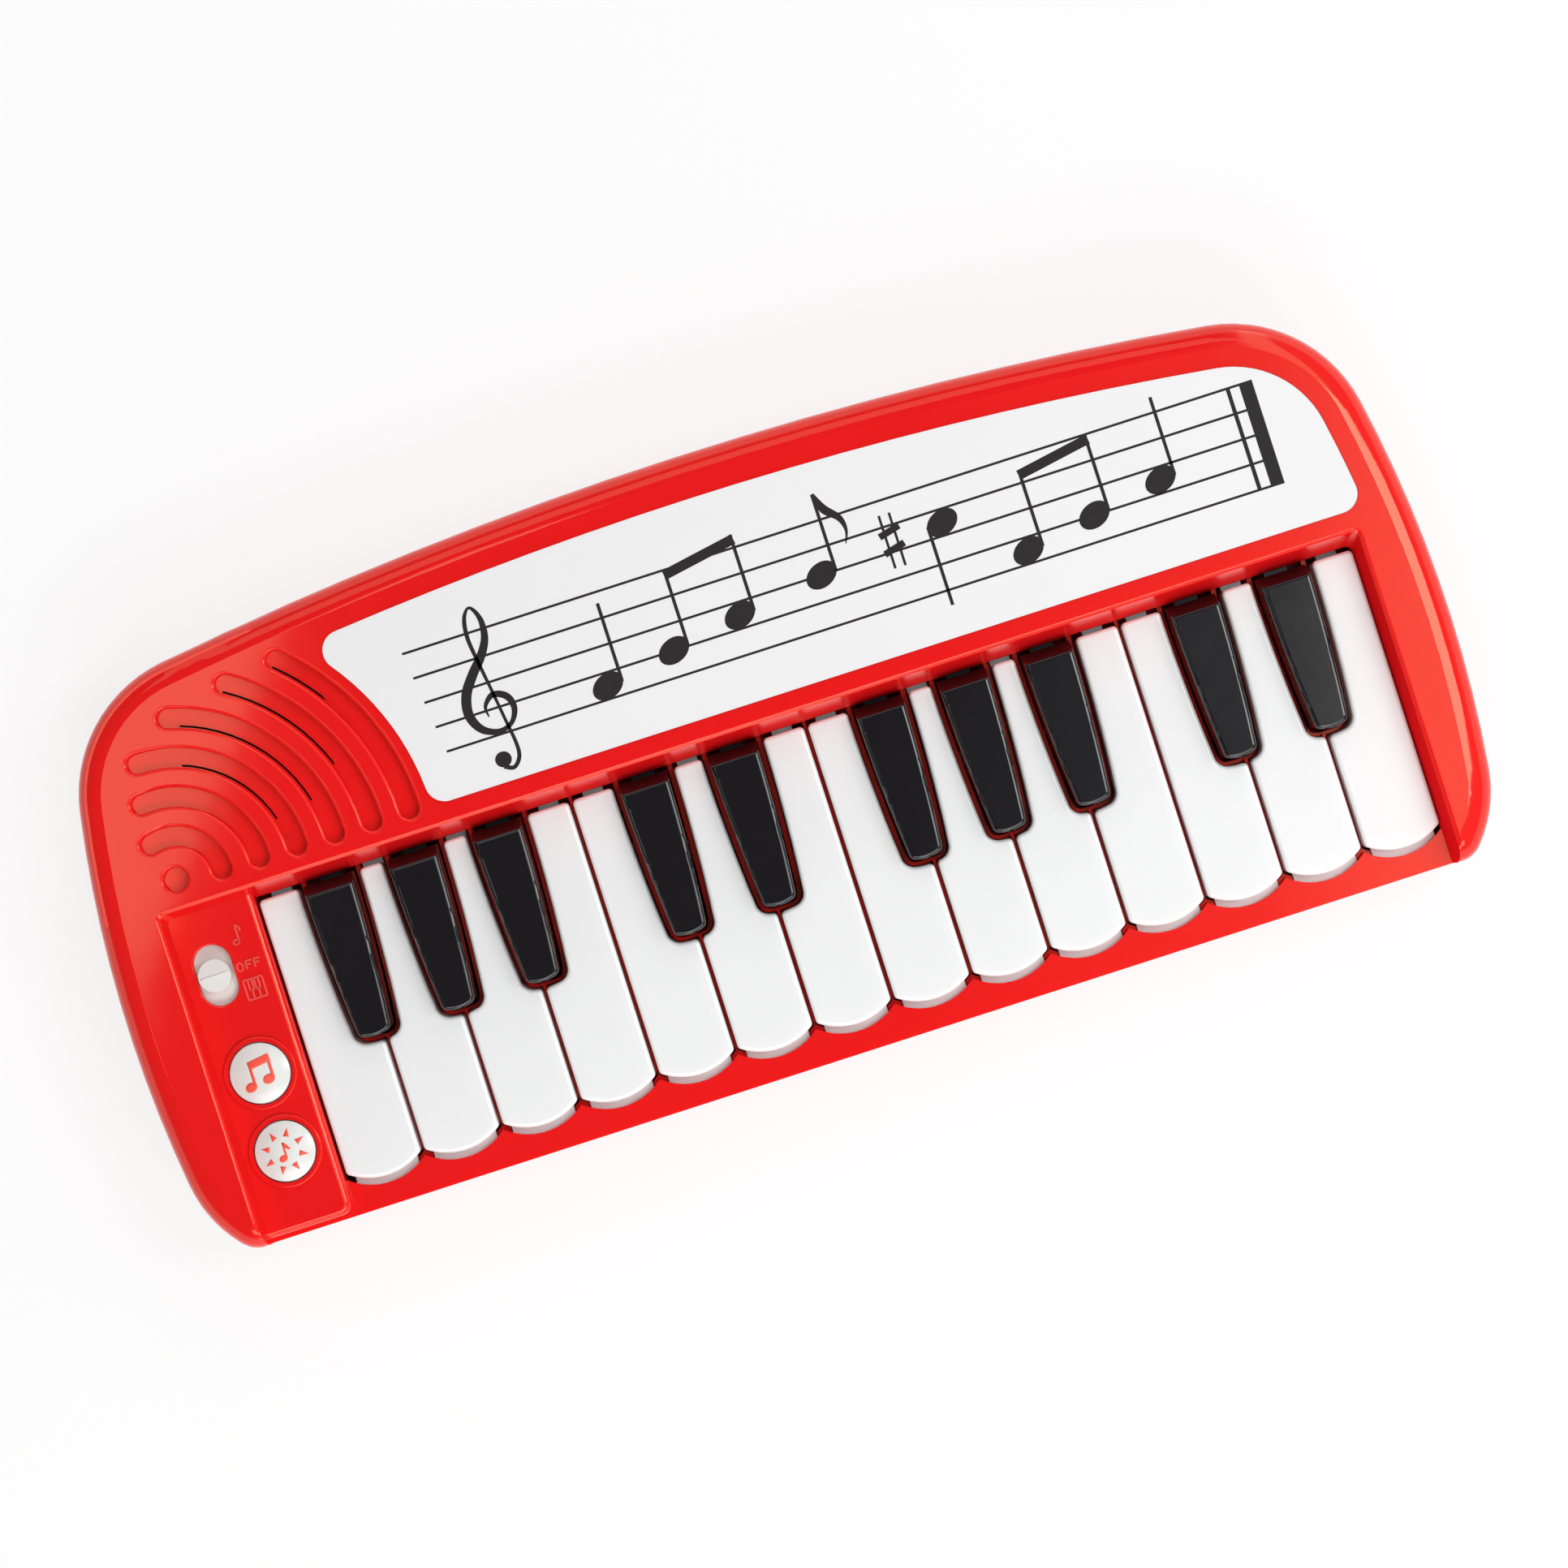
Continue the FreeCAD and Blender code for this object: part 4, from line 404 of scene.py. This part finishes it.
def oval(x, y, long, short, tilt_deg, steps=24, columns=4):
    """Rows of places for a filled oval, as a stroke along its long axis."""
    lean = math.radians(tilt_deg)
    line = []
    for i in range(steps + 1):
        t = -math.cos(math.pi * i / steps)
        line.append((x + long * t * math.cos(lean), y + long * t * math.sin(lean),
                     short * math.sqrt(max(0.0, 1 - t * t))))
    return stroke(line, columns)


def lay_on(shape, rows, height, thick, sink):
    """Add a thin closed body over rows of places in mm, its top above a surface and its base in it."""
    grids = [[[shape.verts.new((x * MM, y * MM, height(x, y) + lift)) for x, y in row] for row in rows]
             for lift in (thick, -sink)]
    top, base = grids
    last = len(rows) - 1
    side = len(rows[0]) - 1
    for i in range(last):
        for j in range(side):
            shape.faces.new((top[i][j], top[i + 1][j], top[i + 1][j + 1], top[i][j + 1]))
            shape.faces.new((base[i][j], base[i][j + 1], base[i + 1][j + 1], base[i + 1][j]))
        for j in (0, side):
            shape.faces.new((top[i][j], base[i][j], base[i + 1][j], top[i + 1][j]))
    for i in (0, last):
        for j in range(side):
            shape.faces.new((top[i][j], top[i][j + 1], base[i][j + 1], base[i][j]))


def close_up(shape):
    """Weld the places where a stroke thins to nothing."""
    bmesh.ops.remove_doubles(shape, verts=shape.verts, dist=WELD_WITHIN)
    bmesh.ops.dissolve_degenerate(shape, edges=shape.edges, dist=SLIVER_WITHIN)


def round_line(x, y, half_x, half_y, sides):
    """A closed run of places round an oval."""
    turns = [2 * math.pi * i / sides for i in range(sides + 1)]
    return [(x + half_x * math.cos(a), y + half_y * math.sin(a)) for a in turns]


knob_low, knob_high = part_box("switch_knob")
switch_x = (knob_low.x + knob_high.x) / 2 / MM
switch_y = (knob_low.y + knob_high.y) / 2 / MM
DECK_TOP = 30.0 * MM
MARK_HALF = 0.2
MARK_HEIGHT = 0.18 * MM
MARK_SINK = 0.05 * MM
# Lines of the marks in mm from their own places, which are given from the middle of the switch.
LETTER_F = [[(-0.8, -1.0), (-0.8, 1.0), (0.7, 1.0)], [(-0.8, 0.1), (0.4, 0.1)]]
LETTER_O = [round_line(0.0, 0.0, 0.75, 1.0, 20)]
SMALL_NOTE = [[(0.0, 0.2), (0.0, 4.4), (0.9, 3.3), (0.9, 2.4)], round_line(-0.75, 0.0, 0.8, 0.55, 16)]
SMALL_KEYS = [[(-2.4, -2.5), (2.4, -2.5), (2.4, 2.5), (-2.4, 2.5), (-2.4, -2.5)],
              [(-0.8, -2.5), (-0.8, -0.2)], [(0.8, -2.5), (0.8, -0.2)],
              [(-1.3, 2.5), (-1.3, -0.2), (-0.3, -0.2), (-0.3, 2.5)],
              [(0.3, 2.5), (0.3, -0.2), (1.3, -0.2), (1.3, 2.5)]]
SWITCH_MARKS = [(8.7, 0.1, LETTER_F), (10.8, 0.1, LETTER_F), (6.3, 0.1, LETTER_O), (8.1, 6.2, SMALL_NOTE),
                (8.3, -5.9, SMALL_KEYS)]
shape = bmesh.new()
for mark_x, mark_y, runs in SWITCH_MARKS:
    for run in runs:
        line = [(switch_x + mark_x + x, switch_y + mark_y + y, MARK_HALF) for x, y in run]
        for a, b in zip(line, line[1:]):
            lay_on(shape, stroke([a, b]), lambda x, y: DECK_TOP, MARK_HEIGHT, MARK_SINK)
close_up(shape)
# Raised marks: a paler red that is a painted highlight for the light their edges catch, on a rougher skin.
painted_highlight_abs = grained("red_abs_painted_highlight", ("#EE4A40", "#F2544A"), 6.0, (0.3, 0.4), 0.6, 0.004, IOR=1.53)
mesh_piece("switch_marks", shape, painted_highlight_abs, "case", smooth=False)

# Guide fins: thin webs of the same moulding that stand between the white keys, from a foot at each cusp of
# the ledge to the rear wall. Where there is a black key, they go round it as a lower collar.
FIN_TOP = 22.0 * MM
FIN_DEEP = 5.0 * MM
FIN_HALF = 0.4
FIN_FRONT = -68.6
FIN_BACK = 5.9
FOOT_TOP = 23.6 * MM
FOOT_REACH = 1.8
FOOT_DEPTH = 1.1
FOOT_LAP = 0.1
FOOT_STEPS = 12
LEDGE_Y = -71.5
LEDGE_CUSP = 3.7
COLLAR_TOP = 19.8 * MM
COLLAR_HALF = 0.6
COLLAR_OUT = 0.88
COLLAR_NOSE_HALF = 0.45
COLLAR_NOSE_OUT = 1.05
COLLAR_CORNER_X = 3.6
COLLAR_CORNER_OUT = 0.7
COLLAR_STEPS = 6
COLLAR_PLAN = [(6.2, 4.4), (6.05, -2.5), (5.6, -15.5), (4.95, -26.0), (4.25, -34.0)]


def foot_rows(joint, half_pitch):
    """Rows of places for the foot under a cusp, which follows the scallops on both sides."""
    radius = (half_pitch ** 2 + LEDGE_CUSP ** 2) / (2 * LEDGE_CUSP)
    rows = []
    for i in range(FOOT_STEPS + 1):
        off = FOOT_REACH * (2 * i / FOOT_STEPS - 1)
        edge = LEDGE_Y + radius - math.sqrt(radius ** 2 - (half_pitch - abs(off)) ** 2)
        rows.append([(joint + off, edge - FOOT_LAP), (joint + off, edge + FOOT_DEPTH)])
    return rows


def collar_rows(x, nose_y):
    """Rows of places for the collar round a black key's plan."""
    left = [(x - half - COLLAR_OUT, y, COLLAR_HALF) for half, y in COLLAR_PLAN]
    right = [(x + half + COLLAR_OUT, y, COLLAR_HALF) for half, y in reversed(COLLAR_PLAN)]
    nose = [(x - COLLAR_CORNER_X, nose_y - COLLAR_CORNER_OUT, COLLAR_NOSE_HALF),
            (x, nose_y - COLLAR_NOSE_OUT, COLLAR_NOSE_HALF),
            (x + COLLAR_CORNER_X, nose_y - COLLAR_CORNER_OUT, COLLAR_NOSE_HALF)]
    start = (left[0][0], FIN_BACK, COLLAR_HALF)
    end = (right[-1][0], FIN_BACK, COLLAR_HALF)
    return stroke(smooth_line([start] + left + nose + right + [end], COLLAR_STEPS))


shape = bmesh.new()
black_middles = [sum(corner.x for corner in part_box(name)) / 2 / MM for name in black_keys]
black_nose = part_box(black_keys[0])[0].y / MM
for low_key, high_key in zip(white_keys, white_keys[1:]):
    joint = (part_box(low_key)[1].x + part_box(high_key)[0].x) / 2 / MM
    half_pitch = (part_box(high_key)[0].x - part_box(low_key)[0].x) / 2 / MM
    lay_on(shape, foot_rows(joint, half_pitch), lambda x, y: FOOT_TOP, 0.0, FIN_DEEP)
    black = [x for x in black_middles if abs(x - joint) < half_pitch / 2]
    back = black_nose - COLLAR_NOSE_OUT if black else FIN_BACK
    fin = stroke([(joint, FIN_FRONT, FIN_HALF), (joint, back, FIN_HALF)])
    lay_on(shape, fin, lambda x, y: FIN_TOP, 0.0, FIN_DEEP)
    for x in black:
        lay_on(shape, collar_rows(x, black_nose), lambda x, y: COLLAR_TOP, 0.0, FIN_DEEP)
close_up(shape)
mesh_piece("key_guide_fins", shape, red_gloss_abs, "case", smooth=False)

# Printed label
# A white polyester film, die cut and stuck into the shallow recess of the hood. Its print is a plain run of
# sheet music in black: a staff with a clef, some notes, a sharp and a closing double bar.

# Polyester film: a cool white sheet with a satin coat, whose very fine tooth takes off most of the shine.
satin_film = grained("satin_polyester_film", ("#E8E7E8", "#EBEAEB"), 25.0, (0.5, 0.6), 0.8, 0.004, IOR=1.57,
                     Specular_IOR_Level=0.12)
dress(satin_film, "panel_label")
# Screen ink: a dense black layer, as dull as the film under it.
black_ink = grained("black_screen_ink", ("#252324", "#2A2829"), 6.0, (0.5, 0.6), 0.5, 0.003, IOR=1.5,
                    Specular_IOR_Level=0.15)

film_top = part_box("panel_label")[1].z
# Each mark is a hair thicker than the one before, so that no two tops that cross share a plane.
INK_HEIGHT = 0.02 * MM
INK_STEP = 0.004 * MM
INK_LAYERS = 12
INK_SINK = 0.01 * MM
STAFF_Y = [25.0, 31.5, 38.0, 44.5, 51.0]
STAFF_LEFT = -76.0
STAFF_SLANT = 0.12
STAFF_RIGHT = 139.0
STAFF_HALF = 0.3
BAR_GAP = 4.6
THIN_BAR_HALF = 0.5
THICK_BAR_HALF = 1.7
# Strokes as (x, y, half width): the clef in its own unit, the quaver's tail and the sharp in mm.
CLEF = [(-0.35, -0.28, 0.03), (-0.36, 0.2, 0.08), (0.08, 0.58, 0.13), (0.64, 0.34, 0.15),
        (0.8, -0.25, 0.13), (0.48, -0.82, 0.1), (-0.15, -1.0, 0.12), (-0.82, -0.68, 0.17),
        (-1.15, 0.05, 0.21), (-0.98, 0.92, 0.22), (-0.45, 1.68, 0.21), (0.12, 2.32, 0.19),
        (0.5, 3.0, 0.16), (0.58, 3.75, 0.12), (0.4, 4.3, 0.08), (0.17, 4.42, 0.06), (-0.1, 4.0, 0.09),
        (-0.2, 3.2, 0.09), (-0.08, 2.1, 0.08), (0.1, 0.8, 0.07), (0.28, -0.6, 0.07), (0.42, -1.7, 0.08),
        (0.36, -2.3, 0.09), (0.02, -2.66, 0.09), (-0.38, -2.5, 0.1)]
CLEF_X = -60.0
CLEF_Y = STAFF_Y[1]
CLEF_UNIT = 5.7
CLEF_STEPS = 8
CLEF_DOT_LEFT = 0.32
CLEF_DOT_DOWN = 2.2
CLEF_DOT_LONG = 0.36
CLEF_DOT_SHORT = 0.34
TAIL = [(0.0, 0.0, 0.5), (1.6, -4.2, 1.05), (4.6, -7.4, 0.8), (5.4, -10.8, 0.4), (4.3, -14.0, 0.12)]
TAIL_STEPS = 6
SHARP = [[(-1.3, -7.0, 0.32), (-1.3, 6.5, 0.32)], [(1.3, -7.0, 0.32), (1.3, 6.5, 0.32)],
         [(-2.7, -3.0, 0.85), (2.7, -1.6, 0.85)], [(-2.7, 1.4, 0.85), (2.7, 2.8, 0.85)]]
SHARP_AT = (45.0, 41.0)
HEAD_LONG = 4.2
HEAD_SHORT = 3.0
HEAD_TILT = 24.0
STEM_HALF = 0.42
STEM_SIDE = 3.7
STEM_LONG = 20.0
STEM_SHORT = 19.5
BEAM_HALF = 1.25
SINGLE_NOTES = [(-32.0, 28.2, STEM_LONG), (58.0, 41.2, -STEM_LONG), (112.0, 34.8, STEM_LONG)]
BEAMED_NOTES = [((-14.0, 31.5), (4.0, 34.8)), ((76.0, 28.2), (94.0, 31.5))]
QUAVER_AT = (26.0, 38.0)


def placed(points, x0, y0, unit=1.0):
    """The points of a stroke at a place, in a unit of some mm."""
    return [(x0 + unit * x, y0 + unit * y, unit * half) for x, y, half in points]


def head_and_stem(x, y, stem):
    """A solid note: its oval head and the upright stem on its right (up) or left (down)."""
    side = STEM_SIDE if stem > 0 else -STEM_SIDE
    return [oval(x, y, HEAD_LONG, HEAD_SHORT, HEAD_TILT),
            stroke([(x + side, y, STEM_HALF), (x + side, y + stem, STEM_HALF)])]


def beam(first, second):
    """The thick bar over the short stems of two notes."""
    low, high = [(x + STEM_SIDE, y + STEM_SHORT - BEAM_HALF) for x, y in (first, second)]
    return stroke([(low[0] - STEM_HALF, low[1], BEAM_HALF), (high[0] + STEM_HALF, high[1], BEAM_HALF)])


marks = [stroke([(STAFF_LEFT - STAFF_SLANT * (y - STAFF_Y[2]), y, STAFF_HALF), (STAFF_RIGHT, y, STAFF_HALF)])
         for y in STAFF_Y]
for x, half in ((STAFF_RIGHT - BAR_GAP, THIN_BAR_HALF), (STAFF_RIGHT, THICK_BAR_HALF)):
    marks.append(stroke([(x, STAFF_Y[0] - STAFF_HALF, half), (x, STAFF_Y[-1] + STAFF_HALF, half)]))
marks.append(stroke(smooth_line(placed(CLEF, CLEF_X, CLEF_Y, CLEF_UNIT), CLEF_STEPS)))
marks.append(oval(CLEF_X - CLEF_DOT_LEFT * CLEF_UNIT, CLEF_Y - CLEF_DOT_DOWN * CLEF_UNIT,
                  CLEF_DOT_LONG * CLEF_UNIT, CLEF_DOT_SHORT * CLEF_UNIT, 0.0))
for x, y, stem in SINGLE_NOTES:
    marks += head_and_stem(x, y, stem)
for first, second in BEAMED_NOTES:
    marks += head_and_stem(*first, STEM_SHORT) + head_and_stem(*second, STEM_SHORT)
    marks.append(beam(first, second))
quaver_x, quaver_y = QUAVER_AT
marks += head_and_stem(quaver_x, quaver_y, STEM_SHORT)
marks.append(stroke(smooth_line(placed(TAIL, quaver_x + STEM_SIDE, quaver_y + STEM_SHORT), TAIL_STEPS)))
marks += [stroke(placed(run, *SHARP_AT)) for run in SHARP]
shape = bmesh.new()
for i, rows in enumerate(marks):
    lay_on(shape, rows, lambda x, y: film_top, INK_HEIGHT + (i % INK_LAYERS) * INK_STEP, INK_SINK)
close_up(shape)
mesh_piece("label_print", shape, black_ink, "case", smooth=False)

# Push buttons
# Two domed caps of white ABS under the deck, each with a small sign pad-printed on its crown.

# White ABS for small caps: less polished than on the keys, and a touch warmer.
white_cap_abs = grained("white_abs_caps", ("#DFDFDB", "#E2E2DE"), 12.0, (0.16, 0.24), 1.5, 0.004,
                        IOR=1.53)
dress(white_cap_abs, "melody_button", "effect_button")
# Pad-print ink: a flat warm red with the slightest sheen.
red_pad_ink = grained("red_pad_ink", ("#F6503C", "#FA5640"), 4.0, (0.35, 0.45), 0.5, 0.003, IOR=1.5)

CAP_BALL = 19.5
PRINT_HEIGHT = 0.025 * MM
PRINT_SINK = 0.02 * MM
PRINT_STEP = 0.5


def crown_over(name):
    """The middle of a button in mm, and the height of its ball-shaped crown over any place."""
    low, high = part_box(name)
    x0 = (low.x + high.x) / 2 / MM
    y0 = (low.y + high.y) / 2 / MM

    def height(x, y):
        out = min(math.hypot(x - x0, y - y0), CAP_BALL)
        return high.z - (CAP_BALL - math.sqrt(CAP_BALL ** 2 - out ** 2)) * MM

    return x0, y0, height


def even(points):
    """More places along straight runs, so that a sign follows the round crown."""
    run = []
    for a, b in zip(points, points[1:]):
        count = max(1, int(math.hypot(b[0] - a[0], b[1] - a[1]) / PRINT_STEP))
        run += [tuple(p + (q - p) * i / count for p, q in zip(a, b)) for i in range(count)]
    return run + [points[-1]]


def print_sign(name, signs):
    """Lay the strokes of a sign on a button's crown."""
    x0, y0, height = crown_over(name)
    shape = bmesh.new()
    for i, rows in enumerate(signs):
        moved = [[(x0 + x, y0 + y) for x, y in row] for row in rows]
        lay_on(shape, moved, height, PRINT_HEIGHT + i * INK_STEP, PRINT_SINK)
    close_up(shape)
    mesh_piece(name + "_sign", shape, red_pad_ink, name)


# Signs in mm from the middle of a crown: two notes under a beam, and a note in a ring of rays.
two_notes = [oval(-2.9, -2.7, 1.55, 1.2, 15.0), oval(1.9, -1.9, 1.55, 1.2, 15.0),
             stroke(even([(-1.75, -2.6, 0.38), (-1.75, 2.9, 0.38)]), 2),
             stroke(even([(3.05, -1.8, 0.38), (3.05, 3.7, 0.38)]), 2),
             stroke(even([(-2.13, 2.45, 1.0), (3.43, 3.25, 1.0)]), 4)]
print_sign("melody_button", two_notes)
RAYS = 8
RAY_ENDS = [(3.7, 0.75), (5.8, 0.02)]
note_in_rays = [oval(-0.7, -1.6, 1.1, 0.85, 15.0),
                stroke(even([(0.15, -1.5, 0.26), (0.15, 2.3, 0.26)]), 2),
                stroke(even([(0.15, 2.1, 0.3), (0.8, 1.1, 0.42), (1.5, 0.2, 0.2)]), 2)]
for i in range(RAYS):
    turn = 2 * math.pi * (i + 0.5) / RAYS
    ray = [(out * math.cos(turn), out * math.sin(turn), half) for out, half in RAY_ENDS]
    note_in_rays.append(stroke(even(ray), 2))
print_sign("effect_button", note_in_rays)

# Slide switch knob
# A small white ABS cap with a cross ridge for the fingertip, on a plate that slides under the deck.

dress(white_cap_abs, "switch_knob")

RIDGE_LONG = 3.5
RIDGE_HALF = 0.25
RIDGE_RISE = 0.3 * MM
RIDGE_SINK = 0.5 * MM
RIDGE_COLUMNS = 4


def ridge_height(x, y):
    """The rounded top of the ridge, highest along its middle."""
    return knob_high.z + RIDGE_RISE * (1 - ((y - switch_y) / RIDGE_HALF) ** 2)


ridge = [(switch_x - RIDGE_LONG, switch_y, RIDGE_HALF), (switch_x + RIDGE_LONG, switch_y, RIDGE_HALF)]
shape = bmesh.new()
lay_on(shape, stroke(even(ridge), RIDGE_COLUMNS), ridge_height, 0.0, RIDGE_SINK)
mesh_piece("switch_knob_ridge", shape, white_cap_abs, "switch_knob")

# Rubber domes
# Two strips under the keys and a small one under the buttons are moulded from silicone. Each dome stands
# under one plunger, pushes its key or button back, and flattens when it is pressed.

# Silicone: a milky grey rubber with a dull skin.
milky_silicone = grained("milky_silicone", ("#B9BAB8", "#C9CAC8"), 8.0, (0.5, 0.65), 0.6, 0.01, IOR=1.41)

# A dome's profile is a radius in mm and a share of its height.
# The corner of a sheet goes by steps back from its end and in from its side, in mm.
DOME_SHEET = 1.0 * MM
DOME_PROFILE = [(3.4, 0.0), (3.05, 0.25), (2.45, 0.78), (2.15, 0.95), (1.7, 1.0)]
DOME_TOP_WITHIN = 0.01 * MM
SHEET_CORNER = [(0.0, 1.0), (0.3, 0.3), (1.0, 0.0)]


def middle_of(name):
    """The middle of a node's box."""
    low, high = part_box(name)
    return (low + high) / 2


def dome_places(node):
    """The middle of each dome of a strip, found from the flat tops of its solid."""
    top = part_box(node)[1].z
    rims = [vert.co for vert in cad[node].data.vertices if vert.co.z > top - DOME_TOP_WITHIN]
    groups = []
    for rim in rims:
        near = [group for group in groups if (group[0] - rim).length < 2 * DOME_PROFILE[0][0] * MM]
        if near:
            near[0].append(rim)
        else:
            groups.append([rim])
    return [Vector([(min(p[i] for p in group) + max(p[i] for p in group)) / 2 for i in range(3)])
            for group in groups]


def sheet_rows(low, high):
    """Rows of places for the sheet of a strip, with rounded corners, along its longer side."""
    middle = (low + high) / 2 / MM
    sides = (high - low) / 2 / MM
    wide = sides.x > sides.y
    half_long, half_short = max(sides.x, sides.y), min(sides.x, sides.y)
    ends = [(half_long - back, half_short - cut) for back, cut in SHEET_CORNER]
    line = [(-along, half) for along, half in ends] + ends[::-1]
    return stroke([(middle.x + along, middle.y, half) if wide else (middle.x, middle.y + along, half)
                   for along, half in line])


def rubber_strip(node, pressed_by):
    """The sheet of a strip, with one dome for each key or button, named after that one."""
    low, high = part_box(node)
    base = low.z + DOME_SHEET
    tall = high.z - base
    along = 0 if high.x - low.x > high.y - low.y else 1
    shape = bmesh.new()
    lay_on(shape, sheet_rows(low, high), lambda x, y: low.z, DOME_SHEET, 0.0)
    sheet = mesh_piece(node + "_sheet", shape, milky_silicone, "case", smooth=False)
    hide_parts(node)
    for place in dome_places(node):
        name = min(pressed_by, key=lambda other: abs(middle_of(other)[along] - place[along]))
        shape = bmesh.new()
        rings = [ring_at(shape, place, radius * MM, base + share * tall) for radius, share in DOME_PROFILE]
        for lower, upper in zip(rings, rings[1:]):
            join_rings(shape, lower, upper)
        shape.faces.new(rings[0])
        shape.faces.new(rings[-1])
        dome = mesh_piece(name + "_dome", shape, milky_silicone, "case")
        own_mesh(dome)


for node in ("key_domes_bass", "key_domes_treble"):
    rubber_strip(node, white_keys + black_keys)
rubber_strip("button_domes", ["melody_button", "effect_button"])

# Rubber feet
# Four moulded discs pressed into the tray, with a dull skin that grips the table.

# Moulded rubber: nearly black and matt, with a fine bloom.
black_rubber = grained("moulded_black_rubber", ("#1B1B1C", "#252526"), 6.0, (0.7, 0.85), 0.5, 0.03)
dress(black_rubber, "rubber_feet")

# Studio
# A white table under a camera that looks straight down, with a soft box on each of the four sides.

TURN = math.radians(-17.85)
CAMERA_AT = (0.0016, -0.0078, 1.028)
CAMERA_LENS = 93.17
SENSOR = 36.0

camera_data = bpy.data.cameras.new("camera")
camera_data.lens = CAMERA_LENS
camera_data.sensor_width = SENSOR
camera = bpy.data.objects.new("camera", camera_data)
camera.location = CAMERA_AT
camera.rotation_euler = (0.0, 0.0, TURN)
bpy.context.scene.collection.objects.link(camera)
bpy.context.scene.camera = camera

in_picture = Matrix.Rotation(TURN, 4, "Z")


def soft_box(name, place, spin_deg, size, radiance, tint):
    """A level lamp that faces down, placed and turned in the picture's own right and up directions."""
    lamp = bpy.data.lights.new(name, "AREA")
    lamp.shape = "RECTANGLE"
    lamp.size, lamp.size_y = size
    lamp.color = srgb(tint)[:3]
    lamp.energy = radiance * math.pi * size[0] * size[1]
    holder = bpy.data.objects.new(name, lamp)
    holder.location = in_picture @ Vector(place)
    holder.rotation_euler = (0.0, 0.0, TURN + math.radians(spin_deg))
    bpy.context.scene.collection.objects.link(holder)


soft_box("left_soft_box", (-0.3115, 0.06, 1.03), -21.5, (0.12, 0.6), 2.2, "#FFFCFC")
soft_box("right_soft_box", (0.7615, 0.245, 0.95), 17.85, (0.9, 0.32), 6.2, "#FFFFFF")
soft_box("front_soft_box", (0.23, -0.71, 0.75), 17.85, (1.1, 0.5), 4.0, "#FFFFFF")
soft_box("rear_soft_box", (-0.29, 0.9, 0.75), 17.85, (0.9, 0.8), 1.0, "#FFFFFF")

# The room is dim, with a bright strip of ceiling a little to the right of the camera and a pale glow along
# the horizon. Its levels go with how far a direction points to the picture's right.
ROOM_LEVELS = [(-1.0, 0.18), (-0.1, 0.12), (0.03, 0.12), (0.12, 0.45), (0.145, 1.5), (0.165, 1.85),
               (0.3, 1.85), (0.34, 0.4), (1.0, 0.25)]
GLOW_LEVEL = 1.2
GLOW_LOW = 0.05
GLOW_HIGH = 0.35
world = bpy.data.worlds.new("studio_room")
world.use_nodes = True
bpy.context.scene.world = world
sky = world.node_tree.nodes["Background"]
direction = add_node(world, "ShaderNodeTexCoord").outputs["Generated"]
picture_right = in_picture @ Vector((1.0, 0.0, 0.0))
rightward = add_node(world, "ShaderNodeVectorMath", {0: direction, 1: picture_right},
                     operation="DOT_PRODUCT").outputs["Value"]
across = add_node(world, "ShaderNodeMapRange", {"Value": rightward, "From Min": -1.0, "From Max": 1.0})
room = add_node(world, "ShaderNodeValToRGB", {"Fac": across.outputs["Result"]})
stops = room.color_ramp.elements
for stop, (side, level) in zip(stops, (ROOM_LEVELS[0], ROOM_LEVELS[-1])):
    stop.position = (side + 1) / 2
    stop.color = (level, level, level, 1.0)
for side, level in ROOM_LEVELS[1:-1]:
    stop = stops.new((side + 1) / 2)
    stop.color = (level, level, level, 1.0)
upward = add_node(world, "ShaderNodeSeparateXYZ", {"Vector": direction}).outputs["Z"]
glow = add_node(world, "ShaderNodeMapRange",
                {"Value": upward, "From Min": GLOW_LOW, "From Max": GLOW_HIGH,
                 "To Min": GLOW_LEVEL, "To Max": 0.0})
lit_room = add_node(world, "ShaderNodeMix",
                    {0: 1.0, 6: room.outputs["Color"], 7: glow.outputs["Result"]},
                    data_type="RGBA", blend_type="ADD")
world.node_tree.links.new(lit_room.outputs[2], sky.inputs["Color"])

# White table: it reads as plain white to the camera and in reflections, and still takes the soft shadow.
TABLE_HALF = 3.0
TABLE_COLOUR = "#F4F4F4"
TABLE_GLOW = 0.78
table_white = bpy.data.materials.new("white_table")
table_white.use_nodes = True
table_white.node_tree.nodes.clear()
paths = add_node(table_white, "ShaderNodeLightPath")
direct_or_mirrored = add_node(table_white, "ShaderNodeMath",
                              {0: paths.outputs["Is Camera Ray"], 1: paths.outputs["Is Glossy Ray"]},
                              operation="ADD")
seen = add_node(table_white, "ShaderNodeMath",
                {0: direct_or_mirrored.outputs[0], 1: paths.outputs["Is Transmission Ray"]},
                operation="ADD", use_clamp=True)
share = add_node(table_white, "ShaderNodeMath", {0: seen.outputs[0], 1: TABLE_GLOW}, operation="MULTIPLY")
dull = add_node(table_white, "ShaderNodeBsdfDiffuse", {"Color": srgb(TABLE_COLOUR)})
lit = add_node(table_white, "ShaderNodeEmission", {"Color": (1.0, 1.0, 1.0, 1.0), "Strength": 1.0})
both = add_node(table_white, "ShaderNodeMixShader",
                {0: share.outputs[0], 1: dull.outputs[0], 2: lit.outputs[0]})
add_node(table_white, "ShaderNodeOutputMaterial", {"Surface": both.outputs[0]})
shape = bmesh.new()
bmesh.ops.create_grid(shape, x_segments=1, y_segments=1, size=TABLE_HALF)
table_mesh = bpy.data.meshes.new("table")
shape.to_mesh(table_mesh)
shape.free()
table_mesh.materials.append(table_white)
table = bpy.data.objects.new("table", table_mesh)
bpy.context.scene.collection.objects.link(table)

bpy.context.scene.view_settings.view_transform = "Standard"
